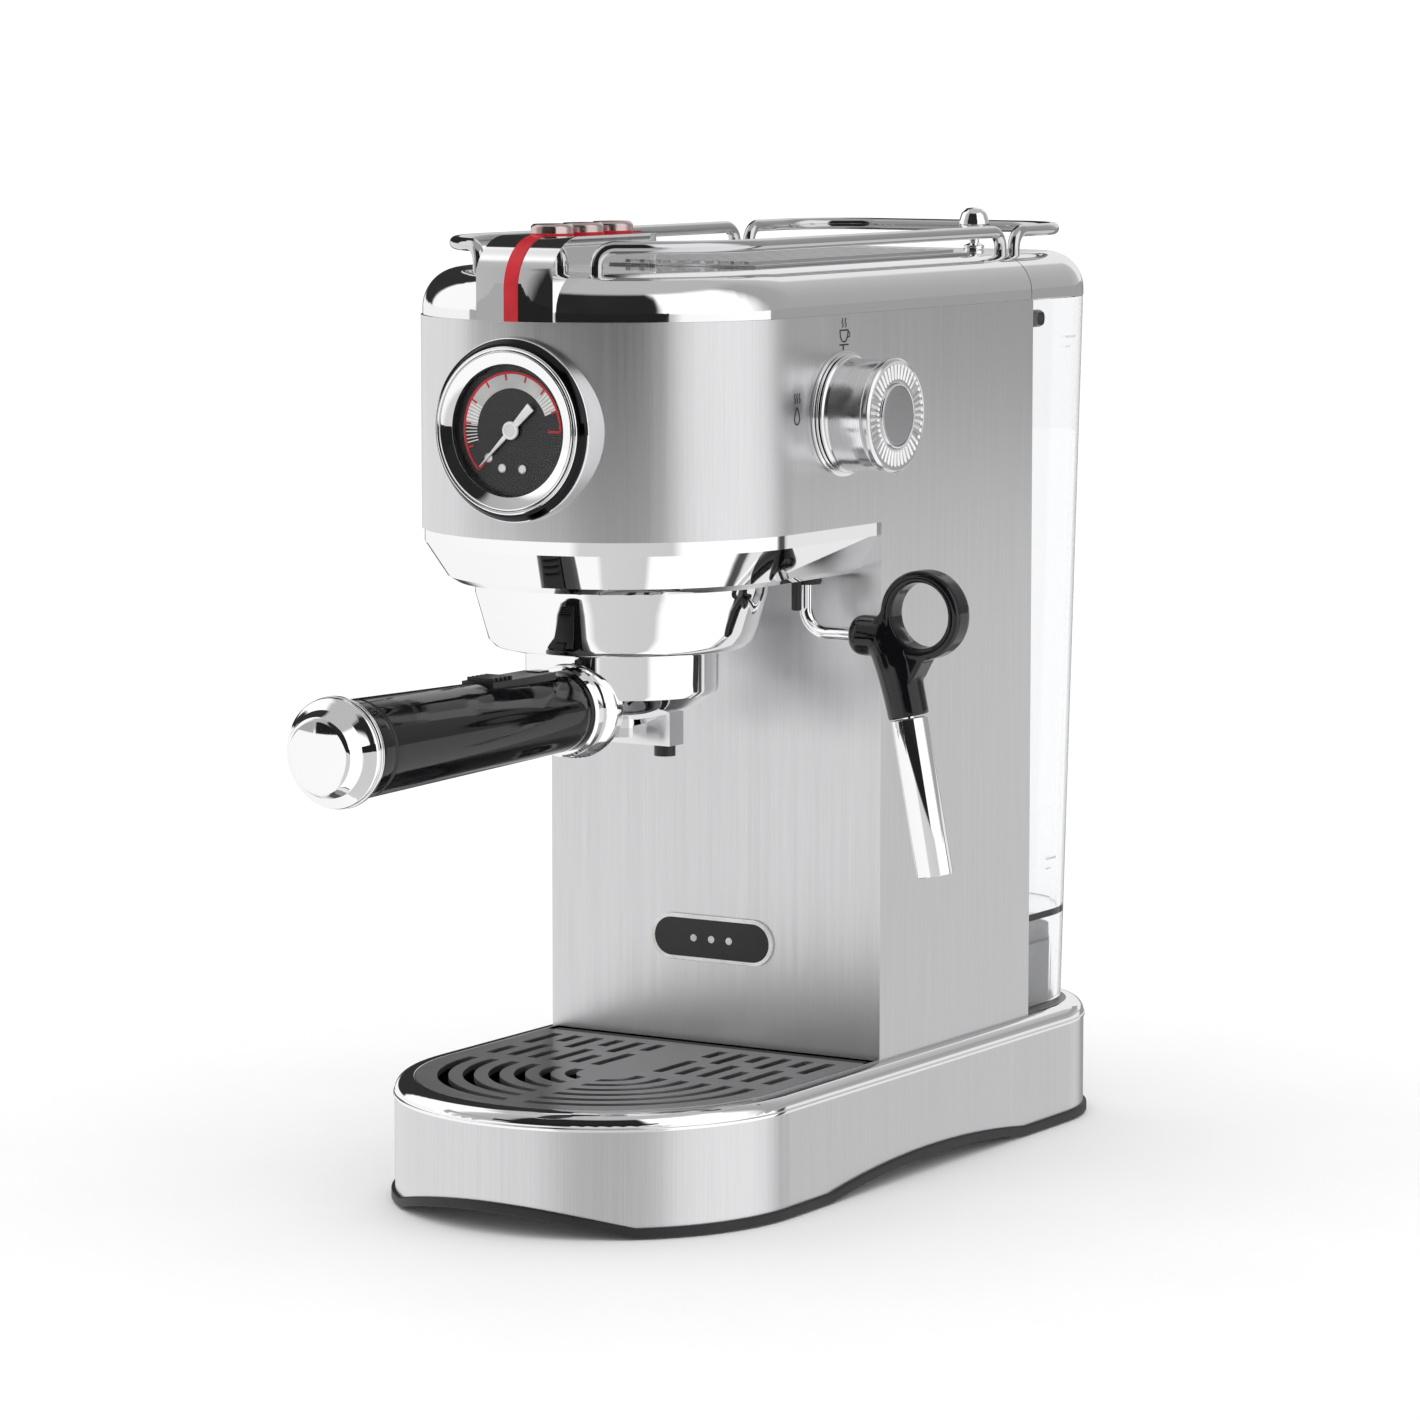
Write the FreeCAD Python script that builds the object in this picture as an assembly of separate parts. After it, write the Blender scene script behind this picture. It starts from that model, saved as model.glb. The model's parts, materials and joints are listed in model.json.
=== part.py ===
import FreeCAD, Part
import math
import os

# Compact espresso machine. Millimetres, +Z up, the front faces -Y.
# The origin is on the floor, at the centre of the four feet.

V = FreeCAD.Vector

# ---- driving dimensions -------------------------------------------------------------
base_half = 70.0            # half the base's width, and the radius of its round front
base_nose_y = -82.0         # centre of the round front of the base
base_rear_y = 153.4
base_rear_r = 45.0
band_bottom = 3.7           # steel band of the base, at its feet
band_top = 34.7
lip_top = 35.8
rim_top = 40.6
sheet = 1.2                 # thickness of the steel sheet

head_half = 65.2            # half the width of head, column and tank
nose_y = -72.6              # centre of the round front of the head, and of the group
lid_rear_y = 151.7
head_rear_r = 35.0
column_front_y = -16.1
seam_y = 87.4               # where the body ends and the water tank starts
head_bottom = 220.7
head_top = 289.9
lid_top = 305.1
lid_inset = 0.6
lid_round = 13.0

foot_x = 48.0
foot_y = 107.0
foot_r = 8.0
foot_high = 3.0

face_x = 1.5                # gauge and console stand a little right of the middle
gauge_z = 255.7
gauge_r = 29.2

knob_y = -41.3
knob_z = 257.8
knob_r = 18.6

group_floor = 203.2         # underside of the head, where the group hangs
cover_bottom = 181.4
bowl_r = 31.6
bowl_top = 190.4
handle_z = 163.3
spout_bottom = 149.8

wand_x = 45.4
wand_y = -31.3
wand_z = 184.8
wand_r = 2.2
ring_x = 90.4
ring_z = 192.7

tank_bottom = 42.0
tank_floor = 72.0
tank_top = 289.6

rail_r = 2.1
rail_x = 53.6
rail_z = 313.0

console_half = 14.3
console_end_y = -80.5       # centre of the console's round rear end
console_top = 316.4
button_r = 6.8
button_ys = (-115.6, -98.0, -80.5)
button_top = 320.2

os.makedirs("parts", exist_ok=True)
made = []


def save(name, shape):
    shape.exportStep("parts/" + name + ".step")
    made.append((name, shape))


# ---- helpers ------------------------------------------------------------------------
def d_wire(half, centre_y, rear_y, rear_r, z):
    """Outline with a half-round front, straight sides and round rear corners."""
    straight_end = rear_y - rear_r
    corner_x = half - rear_r
    turn = rear_r * math.sqrt(0.5)
    p = [
        V(half, centre_y, z),
        V(half, straight_end, z),
        V(corner_x, rear_y, z),
        V(-corner_x, rear_y, z),
        V(-half, straight_end, z),
        V(-half, centre_y, z),
    ]
    right_mid = V(corner_x + turn, straight_end + turn, z)
    left_mid = V(-corner_x - turn, straight_end + turn, z)
    nose = V(0, centre_y - half, z)
    edges = [
        Part.makeLine(p[0], p[1]),
        Part.Arc(p[1], right_mid, p[2]).toShape(),
        Part.makeLine(p[2], p[3]),
        Part.Arc(p[3], left_mid, p[4]).toShape(),
        Part.makeLine(p[4], p[5]),
        Part.Arc(p[5], nose, p[0]).toShape(),
    ]
    return Part.Wire(edges)


def base_slab(inset, z0, z1):
    wire = d_wire(base_half - inset, base_nose_y, base_rear_y - inset, base_rear_r - inset, z0)
    return Part.Face(wire).extrude(V(0, 0, z1 - z0))


def head_slab(inset, z0, z1):
    wire = d_wire(head_half - inset, nose_y, lid_rear_y - inset, head_rear_r - inset, z0)
    return Part.Face(wire).extrude(V(0, 0, z1 - z0))


def box(x0, x1, y0, y1, z0, z1):
    return Part.makeBox(x1 - x0, y1 - y0, z1 - z0, V(x0, y0, z0))


def rod(r, start, end):
    axis = end - start
    return Part.makeCylinder(r, axis.Length, start, axis)


def turned(points, origin, axis):
    """Solid of revolution: points are (radius, height along the axis)."""
    side = V(1, 0, 0) if abs(axis.x) < 0.5 else V(0, 1, 0)
    corners = [origin + side * r + axis * h for r, h in points]
    corners.append(corners[0])
    face = Part.Face(Part.makePolygon(corners))
    return face.revolve(origin, axis, 360)


def sector(r0, r1, z0, z1, middle_deg, width_deg):
    """Part of a ring about the group's axis; angles run from +X towards +Y."""
    start = V(r0, 0, z0)
    face = Part.Face(Part.makePolygon([start, V(r1, 0, z0), V(r1, 0, z1), V(r0, 0, z1), start]))
    solid = face.revolve(V(0, 0, 0), V(0, 0, 1), width_deg)
    solid.rotate(V(0, 0, 0), V(0, 0, 1), middle_deg - width_deg / 2)
    solid.translate(V(0, nose_y, 0))
    return solid


def round_top(solid, z, radius):
    """Rounds every edge that lies in the plane z."""
    edges = [e for e in solid.Edges if abs(e.BoundBox.ZMin - z) < 0.01 and abs(e.BoundBox.ZMax - z) < 0.01]
    return solid.makeFillet(radius, edges)


def swept(points, bends, radius):
    """Round bar along straight runs joined by tangent arcs."""
    edges = []
    last = points[0]
    for i in range(1, len(points) - 1):
        corner = points[i]
        back = (points[i - 1] - corner).normalize()
        ahead = (points[i + 1] - corner).normalize()
        half = math.acos(max(-1.0, min(1.0, back.dot(ahead)))) / 2
        reach = bends[i - 1] / math.tan(half)
        inner = (back + ahead).normalize()
        start = corner + back * reach
        stop = corner + ahead * reach
        middle = corner + inner * (bends[i - 1] / math.sin(half) - bends[i - 1])
        edges.append(Part.makeLine(last, start))
        edges.append(Part.Arc(start, middle, stop).toShape())
        last = stop
    edges.append(Part.makeLine(last, points[-1]))
    path = Part.Wire(edges)
    section = Part.Wire(Part.makeCircle(radius, points[0], points[1] - points[0]))
    return path.makePipeShell([section], True, True)


# ---- base ---------------------------------------------------------------------------
def under_arches(drop):
    """Space below the base's lower edge, which arches up between the feet."""
    low = -20.0
    flat = box(-90, 90, -170, 175, low, band_bottom - drop)
    side_r = 480.0
    side_top = 8.4
    front_r = 160.0
    front_top = 10.3
    side = Part.makeCylinder(side_r, 200, V(-100, 10, side_top - drop - side_r), V(1, 0, 0))
    front = Part.makeCylinder(front_r, 400, V(0, -200, front_top - drop - front_r), V(0, 1, 0))
    keep = box(-90, 90, -170, 175, low, 20)
    return flat.fuse(side.common(keep)).fuse(front.common(keep))


skirt_out = 1.3
skirt_in = 2.4
skirt_high = 3.1
base_wall = base_slab(0, band_bottom, band_top).cut(base_slab(sheet, 0, band_top + 1))
base_wall = base_wall.cut(under_arches(0))
inlet_half = 22.0           # the steel band ends either side of the plastic inlet plate
inlet_gap = 0.2
behind = base_rear_y - 10
save("base_band", base_wall.cut(box(-inlet_half, inlet_half, behind, base_rear_y + 1, 0, 60)))

gland_z = 22.0
gland_r = 7.8
cord_r = 3.6
gland_out = 2.0
flange = 3.0
flange_low = 14.2
inlet_plate = base_wall.common(box(inlet_gap - inlet_half, inlet_half - inlet_gap, behind, base_rear_y + 1, 0, 60))
inlet_plate = inlet_plate.fuse(box(-inlet_half - flange, inlet_half + flange, base_rear_y - 2.6, base_rear_y - sheet,
                                   flange_low, band_top - 1.5))
inlet_plate = inlet_plate.fuse(rod(gland_r, V(0, base_rear_y - 3.4, gland_z), V(0, base_rear_y + gland_out, gland_z)))
inlet_plate = inlet_plate.cut(rod(cord_r, V(0, behind, gland_z), V(0, base_rear_y + 5, gland_z)))
save("inlet_plate", inlet_plate.removeSplitter())

skirt_ring = base_slab(-skirt_out, 0, 14).cut(base_slab(skirt_in, -1, 15))
skirt = skirt_ring.common(under_arches(0)).cut(under_arches(skirt_high))
save("skirt", skirt)

rim_in = 6.5
rim_body = round_top(base_slab(0, lip_top, rim_top), rim_top, 4.6)
rim_lip = base_slab(-0.4, band_top, lip_top)
base_rim = rim_body.fuse(rim_lip).removeSplitter().cut(base_slab(rim_in, 0, 60))
save("base_rim", base_rim)

pan_low = 9.0
pan_high = 12.0
feet_at = [(sx * foot_x, sy * foot_y) for sx in (-1, 1) for sy in (-1, 1)]
screws_at = [(sx * 30.0, y) for sx in (-1, 1) for y in (10.0, 70.0)]
base_pan = base_slab(skirt_in + 0.1, pan_low, pan_high)
base_pan = base_pan.fuse(base_slab(sheet, pan_high, pan_high + 2).cut(base_slab(4, 0, 60)))
peg_r = 3.0
peg_top = 7.0
feet = []
for x, y in feet_at:
    base_pan = base_pan.fuse(rod(foot_r + 1.5, V(x, y, foot_high), V(x, y, pan_low)))
    foot = rod(foot_r, V(x, y, 0), V(x, y, foot_high))
    foot = foot.fuse(rod(peg_r, V(x, y, foot_high), V(x, y, peg_top)))
    base_pan = base_pan.cut(rod(peg_r, V(x, y, 0), V(x, y, peg_top)))
    feet.append(foot)
screws = []
for x, y in screws_at:
    head = rod(3.0, V(x, y, pan_low - 2), V(x, y, pan_low))
    shank = rod(1.5, V(x, y, pan_low), V(x, y, pan_high + 4))
    screws.append(head.fuse(shank))
    base_pan = base_pan.cut(shank)
base_pan = base_pan.removeSplitter()
save("base_pan", base_pan)
save("feet", Part.makeCompound(feet))
save("pan_screws", Part.makeCompound(screws))

# ---- drip tray and grate ------------------------------------------------------------
tray_back = -17.6
grate_back = -22.7
tray_low = 12.2
tray_inset = 8.0
grate_low = 38.6
front_zone = box(-90, 90, -170, tray_back, 0, 60)
tray = base_slab(tray_inset, tray_low, grate_low - 0.3).common(front_zone)
hollow = base_slab(tray_inset + 2, tray_low + 2, 60).common(box(-90, 90, -170, tray_back - 3.5, 0, 60))
tray = tray.cut(hollow)
tray = tray.fuse(box(-61.5, 61.5, grate_back + 0.4, tray_back, 34.0, rim_top - 0.3)).removeSplitter()
save("drip_tray", tray)

grate = base_slab(rim_in + 0.3, grate_low, rim_top).common(box(-90, 90, -170, grate_back, 0, 60))
slot_w = 3.8
ring_rs = (54.2, 45.8, 37.4, 29.0, 20.6, 12.2)
bridge = 3.6
straight_start = -71.0
cutters = []
for i, r in enumerate(ring_rs):
    outer = Part.makeCylinder(r + slot_w / 2, 10, V(0, base_nose_y, grate_low - 3))
    inner = Part.makeCylinder(r - slot_w / 2, 10, V(0, base_nose_y, grate_low - 3))
    arc_slot = outer.cut(inner).common(box(-90, 90, -170, base_nose_y + 2, 0, 60))
    cutters.append(arc_slot.cut(box(-bridge, bridge, -170, 0, 0, 60)))
    split = -48.0 if i % 2 else -56.0
    for side in (-1, 1):
        for y0, y1 in ((straight_start, split), (split + 7, grate_back - 6)):
            cutters.append(box(side * r - slot_w / 2, side * r + slot_w / 2, y0, y1, grate_low - 3, 60))
for cutter in cutters:
    grate = grate.cut(cutter)
save("drip_grate", grate)

# ---- column and head ----------------------------------------------------------------
inner_x = head_half - sheet
for name, side in (("left_panel", -1), ("right_panel", 1)):
    x0, x1 = sorted((side * inner_x, side * head_half))
    save(name, box(x0, x1, column_front_y, seam_y, rim_top, head_bottom))
column_panel = box(-inner_x, inner_x, column_front_y, column_front_y + sheet, rim_top, head_bottom)
save("column_panel", column_panel)
rear_wall = box(-inner_x, inner_x, seam_y - 2, seam_y, rim_top, head_top)
save("rear_wall", rear_wall)

knob_axis = V(0, knob_y, knob_z)
gauge_axis = V(face_x, 0, gauge_z)
barrel_r = 27.0
head_zone = box(-90, 90, -170, seam_y, 0, 400)
head_band = head_slab(0, head_bottom, head_top).cut(head_slab(sheet, 0, 400)).common(head_zone)
head_band = head_band.cut(rod(barrel_r, gauge_axis + V(0, -150, 0), gauge_axis + V(0, -100, 0)))
head_band = head_band.cut(rod(4.0, knob_axis + V(50, 0, 0), knob_axis + V(80, 0, 0)))
save("head_band", head_band)


def tapered(inset_low, inset_high, z0, z1):
    """Head outline narrowing downwards, open towards the column."""
    low = d_wire(head_half - inset_low, nose_y, 0, 5, z0)
    high = d_wire(head_half - inset_high, nose_y, 0, 5, z1)
    return Part.makeLoft([low, high], True, True)


def trim_solid(wall, floor):
    bowl = tapered(8.2 + wall, 0.9 + wall, 205.2, 216.3)
    ring = tapered(0.9 + wall, 0.9 + wall, 216.3, head_bottom)
    foot = tapered(11.5 + wall, 8.2 + wall, floor, 205.2)
    return foot.fuse(bowl).fuse(ring)


trim_zone = box(-90, 90, -170, column_front_y, 0, 400)
head_trim = trim_solid(0, group_floor).cut(trim_solid(1.8, group_floor + 0.01).cut(
    box(-90, 90, -170, 50, 0, group_floor + 1.8)))
head_trim = head_trim.common(trim_zone)
head_trim = head_trim.cut(Part.makeCylinder(40, 40, V(0, nose_y, 190)))
head_trim = head_trim.cut(rod(wand_r + 0.4, V(wand_x, wand_y, 190), V(wand_x, wand_y, 215)))
drain_x = wand_x + 0.7
drain_y = wand_y - 7.2
drain_r = 1.7
head_trim = head_trim.cut(rod(drain_r, V(drain_x, drain_y, 190), V(drain_x, drain_y, 215)))
save("head_trim", head_trim)

deck_low = head_bottom + 0.8
deck_high = deck_low + 3.0
chassis = head_slab(sheet + 0.3, deck_low, deck_high).common(box(-90, 90, -170, seam_y - 2, 0, 400))
chassis = chassis.cut(Part.makeCylinder(20, 20, V(0, nose_y, deck_low - 5)))
for side in (-1, 1):
    x0, x1 = sorted((side * 58.0, side * 61.0))
    chassis = chassis.fuse(box(x0, x1, column_front_y + 4, seam_y - 4, pan_high, deck_low))
floor_zone = box(-90, 90, column_front_y + 0.4, 200, 0, 400)
chassis = chassis.fuse(base_slab(6.8, pan_high, pan_high + 3).common(floor_zone))
chassis = chassis.fuse(box(-61, 61, column_front_y + 0.4, column_front_y + 2.4, pan_high + 3, rim_top - 2))
chassis = chassis.removeSplitter()
for x, y in screws_at:
    chassis = chassis.cut(rod(1.5, V(x, y, pan_high), V(x, y, pan_high + 4)))
save("chassis", chassis)

# ---- lid, cup plate and rails -------------------------------------------------------
lid_whole = round_top(head_slab(lid_inset, head_top, lid_top), lid_top, lid_round)
lid_hollow = round_top(head_slab(lid_inset + 2.5, head_top, lid_top - 2.5), lid_top - 2.5, lid_round - 2.5)
top_lid = lid_whole.common(head_zone).cut(lid_hollow.common(box(-90, 90, -170, seam_y - 2.5, 0, 400)))
save("top_lid", top_lid)

plate_x = 44.0
plate_y0 = -61.0
plate_y1 = 80.0
cup_plate = box(-plate_x, plate_x, plate_y0, plate_y1, lid_top, lid_top + 0.8)
rib_pitch = 5.5
ribs = int(plate_x / rib_pitch)
for i in range(-ribs, ribs + 1):
    x = i * rib_pitch
    if abs(x) > plate_x - 2:
        continue
    cup_plate = cup_plate.fuse(box(x - 1.1, x + 1.1, plate_y0 + 3, plate_y1 - 3, lid_top + 0.8, lid_top + 1.9))
save("cup_plate", cup_plate.removeSplitter())

rail_leg_deg = 30.8
rail_bend = 6.0
lid_skin = lid_top - 1.6
rail_back_y = 85.0


def side_rail(side):
    """Guard rail along one side: it follows the round front, then runs straight back."""
    arc_mid_deg = (rail_leg_deg + 90.0) / 2
    points = []
    for deg in (rail_leg_deg, arc_mid_deg, 90.0):
        a = math.radians(deg)
        points.append(V(side * rail_x * math.sin(a), nose_y - rail_x * math.cos(a), rail_z))
    a = math.radians(rail_leg_deg)
    along = V(side * math.cos(a), math.sin(a), 0)
    arc = Part.Arc(points[0], points[1], points[2])
    corner = points[0] - along * rail_bend
    bow = rail_bend * (1 - math.sqrt(0.5))
    leg_foot = V(corner.x, corner.y, lid_skin)
    leg_end = V(corner.x, corner.y, rail_z - rail_bend)
    leg = [
        Part.makeLine(leg_foot, leg_end),
        Part.Arc(leg_end, corner + along * bow - V(0, 0, bow), points[0]).toShape(),
    ]
    back = rail_back_y - rail_bend
    turn = rail_bend * math.sqrt(0.5)
    tail = [
        Part.makeLine(points[2], V(side * rail_x, back, rail_z)),
        Part.Arc(V(side * rail_x, back, rail_z),
                 V(side * rail_x, back + turn, rail_z - rail_bend + turn),
                 V(side * rail_x, rail_back_y, rail_z - rail_bend)).toShape(),
        Part.makeLine(V(side * rail_x, rail_back_y, rail_z - rail_bend), V(side * rail_x, rail_back_y, lid_skin)),
    ]
    path = Part.Wire(leg + [arc.toShape()] + tail)
    section = Part.Wire(Part.makeCircle(rail_r, leg_foot, V(0, 0, 1)))
    return path.makePipeShell([section], True, True)


cup_rails = [side_rail(side).cut(lid_whole) for side in (-1, 1)]
save("cup_rails", Part.makeCompound(cup_rails))

# ---- console and its buttons --------------------------------------------------------
front_r = head_half + 1.0


def console_plan(half, nose_r, end_y, z0, z1):
    """Tongue seen from above: its front follows the head and its rear end is half round."""
    body = box(face_x - half, face_x + half, nose_y - nose_r - 5, end_y, z0, z1)
    end = Part.makeCylinder(half, z1 - z0, V(face_x, end_y, z0))
    front = Part.makeCylinder(nose_r, z1 - z0, V(0, nose_y, z0))
    back = box(-40, 40, nose_y - 40, end_y + 40, z0, z1)
    return body.fuse(end).common(front.fuse(back)).removeSplitter()


def console_side(rise, front):
    """Side view of the console, swept across the machine: upright front, round shoulder."""
    shoulder = 17.0
    top = console_top + rise
    y0 = nose_y - front
    turn = shoulder * (1 - math.sqrt(0.5))
    a = V(-40, y0, head_top)
    b = V(-40, y0, top - shoulder)
    c = V(-40, y0 + shoulder, top)
    d = V(-40, -40, top)
    e = V(-40, -40, head_top)
    edges = [
        Part.makeLine(a, b),
        Part.Arc(b, V(-40, y0 + turn, top - turn), c).toShape(),
        Part.makeLine(c, d),
        Part.makeLine(d, e),
        Part.makeLine(e, a),
    ]
    return Part.Face(Part.Wire(edges)).extrude(V(80, 0, 0))


console_out = console_plan(console_half, front_r, console_end_y, head_top, console_top + 2)
console_out = console_out.common(console_side(0, front_r))
console_in = console_plan(console_half - 2, front_r - 14, console_end_y, lid_top, console_top - 2.5)
console = console_out.cut(lid_whole).cut(console_in)
button_hole = button_r + 0.3
for y in button_ys:
    console = console.cut(rod(button_hole, V(face_x, y, lid_top), V(face_x, y, 330)))
save("console", console)

stripe_lift = 0.25
stripe_x = 1.2
stripe_half = 2.6
stripe = console_plan(console_half, front_r + stripe_lift, console_end_y, head_top, console_top + 2)
stripe = stripe.common(console_side(stripe_lift, front_r + stripe_lift)).cut(console_out)
stripe = stripe.common(box(stripe_x - stripe_half, stripe_x + stripe_half, -170, 0, 0, 400))
for y in button_ys:
    stripe = stripe.cut(rod(button_hole + 0.3, V(face_x, y, lid_top), V(face_x, y, 330)))
save("console_stripe", stripe)

for name, y in zip(("button_one", "button_two", "button_three"), button_ys):
    cap = turned([(0, 308.6), (2, 308.6), (2, 312.2), (8, 312.2), (8, 313.7), (button_r, 313.7),
                  (button_r, button_top - 0.8), (button_r - 0.8, button_top), (0, button_top)],
                 V(face_x, y, 0), V(0, 0, 1))
    save(name, cap)

# ---- pressure gauge -----------------------------------------------------------------
out = V(0, -1, 0)
gauge_seat = -138.5
housing = turned([(24.4, -gauge_seat), (gauge_r, -gauge_seat), (gauge_r, 100), (barrel_r, 100), (barrel_r, 108),
                  (24.4, 108)], gauge_axis, out)
head_solid = head_slab(0, head_bottom, head_top)
flange = housing.cut(head_solid)
barrel = housing.common(rod(barrel_r, gauge_axis + V(0, -150, 0), gauge_axis + V(0, -104, 0)))
cup_end = rod(24.4, gauge_axis + V(0, -112, 0), gauge_axis + V(0, -108, 0))
tube = rod(barrel_r, gauge_axis + V(0, -139, 0), gauge_axis + V(0, -108, 0))
tube = tube.cut(rod(24.4, gauge_axis + V(0, -150, 0), gauge_axis + V(0, -100, 0))).common(head_solid)
gauge_housing = flange.fuse(tube).fuse(cup_end).removeSplitter()
save("gauge_housing", gauge_housing)

bezel = turned([(20.6, 141.3), (24.6, 143.0), (25.4, 142.9), (28.9, 139.6), (gauge_r, -gauge_seat),
                (22.6, -gauge_seat), (22.6, 140.6), (22.0, 141.0), (20.6, 141.0)], gauge_axis, out)
save("gauge_bezel", bezel)
save("gauge_glass", rod(22.0, gauge_axis + V(0, -141.0, 0), gauge_axis + V(0, -140.6, 0)).cut(bezel))
dial = rod(24.3, gauge_axis + V(0, -138.4, 0), gauge_axis + V(0, -137.2, 0))
dial = dial.fuse(rod(12, gauge_axis + V(0, -137.2, 0), gauge_axis + V(0, -112, 0)))
spindle_r = 0.8
dial = dial.cut(rod(spindle_r + 0.05, gauge_axis + V(0, -150, 0), gauge_axis + V(0, -120, 0)))
save("gauge_dial", dial)

# The needle rests on the zero mark, low on the left, with its tail high on the right.
needle_front = -139.9
needle_back = -139.2
needle = rod(2.2, gauge_axis + V(0, needle_front, 0), gauge_axis + V(0, needle_back, 0))
blade = [(-16.4, 0.0), (-1.0, 0.9), (9.5, 1.5), (9.5, -1.5), (-1.0, -0.9)]
corners = []
for along, across in blade + blade[:1]:
    a = math.radians(45)
    x = along * math.cos(a) - across * math.sin(a)
    z = along * math.sin(a) + across * math.cos(a)
    corners.append(gauge_axis + V(x, needle_front, z))
needle = needle.fuse(Part.Face(Part.makePolygon(corners)).extrude(V(0, needle_back - needle_front, 0)))
needle = needle.fuse(rod(spindle_r, gauge_axis + V(0, needle_back, 0), gauge_axis + V(0, -128, 0)))
save("needle", needle.removeSplitter())

# ---- control knob and steam valve ---------------------------------------------------
right = V(1, 0, 0)
seat_out = 67.4
knob_in = 67.7
save("knob_seat", turned([(7, head_half), (20.4, head_half), (20.4, seat_out - 0.5), (19.9, seat_out),
                          (7, seat_out)], knob_axis, right))
shaft_r = 3.0
knob_body = turned([(shaft_r, knob_in), (19.2, knob_in), (18.2, knob_in + 1), (18.0, 82.2), (knob_r, 82.8),
                    (knob_r, 84.9), (knob_r - 0.7, 85.5), (10.2, 85.5), (10.2, 86.1), (9.8, 86.4), (0, 86.4),
                    (0, 78.0), (shaft_r, 78.0)], knob_axis, right)
save("knob_body", knob_body)
save("knob_shaft", rod(shaft_r, knob_axis + right * 51, knob_axis + right * 78))
valve = rod(9.0, knob_axis + right * 38, knob_axis + right * 62)
valve = valve.cut(rod(shaft_r + 0.05, knob_axis + right * 50, knob_axis + right * 63))
valve = valve.fuse(box(40, 56, knob_y - 6, knob_y + 6, deck_high, knob_z - 8).cut(
    rod(9.0, knob_axis + right * 30, knob_axis + right * 70))).removeSplitter()
save("steam_valve", valve)

# ---- brew group ---------------------------------------------------------------------
up = V(0, 0, 1)
group = V(0, nose_y, 0)
cover = turned([(33.0, cover_bottom), (39.0, cover_bottom), (41.6, 182.0), (43.7, 184.2), (48.0, 199.5),
                (48.2, group_floor), (46.6, group_floor), (46.4, 199.8), (42.4, 185.0), (40.8, 183.4),
                (38.8, 182.9), (33.0, 182.9)], group, up)
save("group_cover", cover)

lug_half_deg = 18.0
unlock_deg = -45.0
lug_at = (0.0, 180.0)
group_head = turned([(32.1, 183.1), (38.9, 183.1), (41.2, 184.6), (41.4, group_floor), (18.0, group_floor), (18.0, 238.0),
                     (3.0, 238.0), (3.0, 195.4), (31.2, 195.4), (31.2, 190.8), (37.2, 190.8), (37.2, 186.0),
                     (32.1, 186.0)], group, up)
for at in lug_at:
    group_head = group_head.cut(sector(30, 37.2, 180, 186.5, at + unlock_deg, 2 * lug_half_deg + 4))
save("group_head", group_head)
save("group_gasket", turned([(25.8, 191.8), (31.0, 191.8), (31.0, 195.4), (25.8, 195.4)], group, up))
save("shower_screen", turned([(0, 193.2), (25.0, 193.2), (25.0, 194.0), (5.5, 194.0), (5.5, 195.4), (3.0, 195.4),
                              (3.0, 197.0), (0, 197.0)], group, up))
boiler = turned([(18.0, deck_high), (32.0, deck_high), (32.0, 262.0), (28.0, 268.0), (0, 268.0), (0, 238.0),
                 (18.0, 238.0)], group, up)
save("boiler", boiler)
pump_floor = pan_high + 3
pump = rod(20, V(0, 35, 70), V(0, 35, 140)).fuse(rod(8, V(0, 35, pump_floor), V(0, 35, 70)))
pump = pump.fuse(rod(6, V(0, 35, 140), V(0, 35, 156))).removeSplitter()
save("pump", pump)

# ---- filter holder ------------------------------------------------------------------
neck_in = 20.0
collar_in = 33.0
collar_out = 37.5
grip_end = 157.0
bowl = turned([(27.6, 168.0), (27.6, bowl_top), (bowl_r, bowl_top), (bowl_r, 168.2), (31.0, 166.6), (29.5, 165.6),
               (24.0, 161.6), (16.0, 158.8), (8.0, 157.6), (8.0, 155.0), (3.0, 155.0), (3.0, 166.0),
               (25.0, 166.0)], group, up)
for at in lug_at:
    bowl = bowl.fuse(sector(bowl_r - 1, 36.8, 186.4, 190.2, at, 2 * lug_half_deg))
handle_axis = V(0, nose_y, handle_z)
rod_r = 4.0
neck = turned([(0, neck_in), (15.6, neck_in), (16.4, 25.0), (16.2, 29.0), (15.0, 31.6), (13.4, collar_in),
               (0, collar_in)], handle_axis, out)
neck = neck.cut(Part.makeCylinder(28.6, 40, V(0, nose_y, 166.6)))
neck = neck.cut(Part.makeCylinder(29.8, 40, V(0, nose_y, 140)))
bowl = bowl.fuse(neck).cut(rod(rod_r, handle_axis + out * 26, handle_axis + out * 60)).removeSplitter()
save("filter_bowl", bowl)
basket = turned([(23.4, 170.0), (25.0, 190.6), (30.8, 190.6), (30.8, 191.4), (24.3, 191.4), (22.7, 169.2),
                 (0, 169.2), (0, 168.6), (23.4, 168.6)], group, up)
save("filter_basket", basket)
save("handle_collar", turned([(rod_r, collar_in), (14.0, collar_in), (14.8, collar_in + 1), (14.8, collar_out - 1),
                              (14.0, collar_out), (rod_r, collar_out)], handle_axis, out))
grip = turned([(rod_r, collar_out), (12.4, collar_out), (13.0, collar_out + 2), (15.4, 149.0), (15.0, 149.6),
               (15.0, 150.4), (15.6, 151.0), (15.8, grip_end), (rod_r, grip_end)], handle_axis, out)
clip_pin = V(0, nose_y - 50.0, handle_z + 13.0)
clip_end = nose_y - 84.0
clip_half = 6.0
recess_z = clip_pin.z - 2.2
grip = grip.cut(box(-clip_half - 0.5, clip_half + 0.5, clip_end - 0.8, clip_pin.y + 3, recess_z, 200))
lug = box(-2.6, 2.6, clip_pin.y - 2.4, clip_pin.y + 3, recess_z - 2, clip_pin.z + 1.6)
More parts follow.
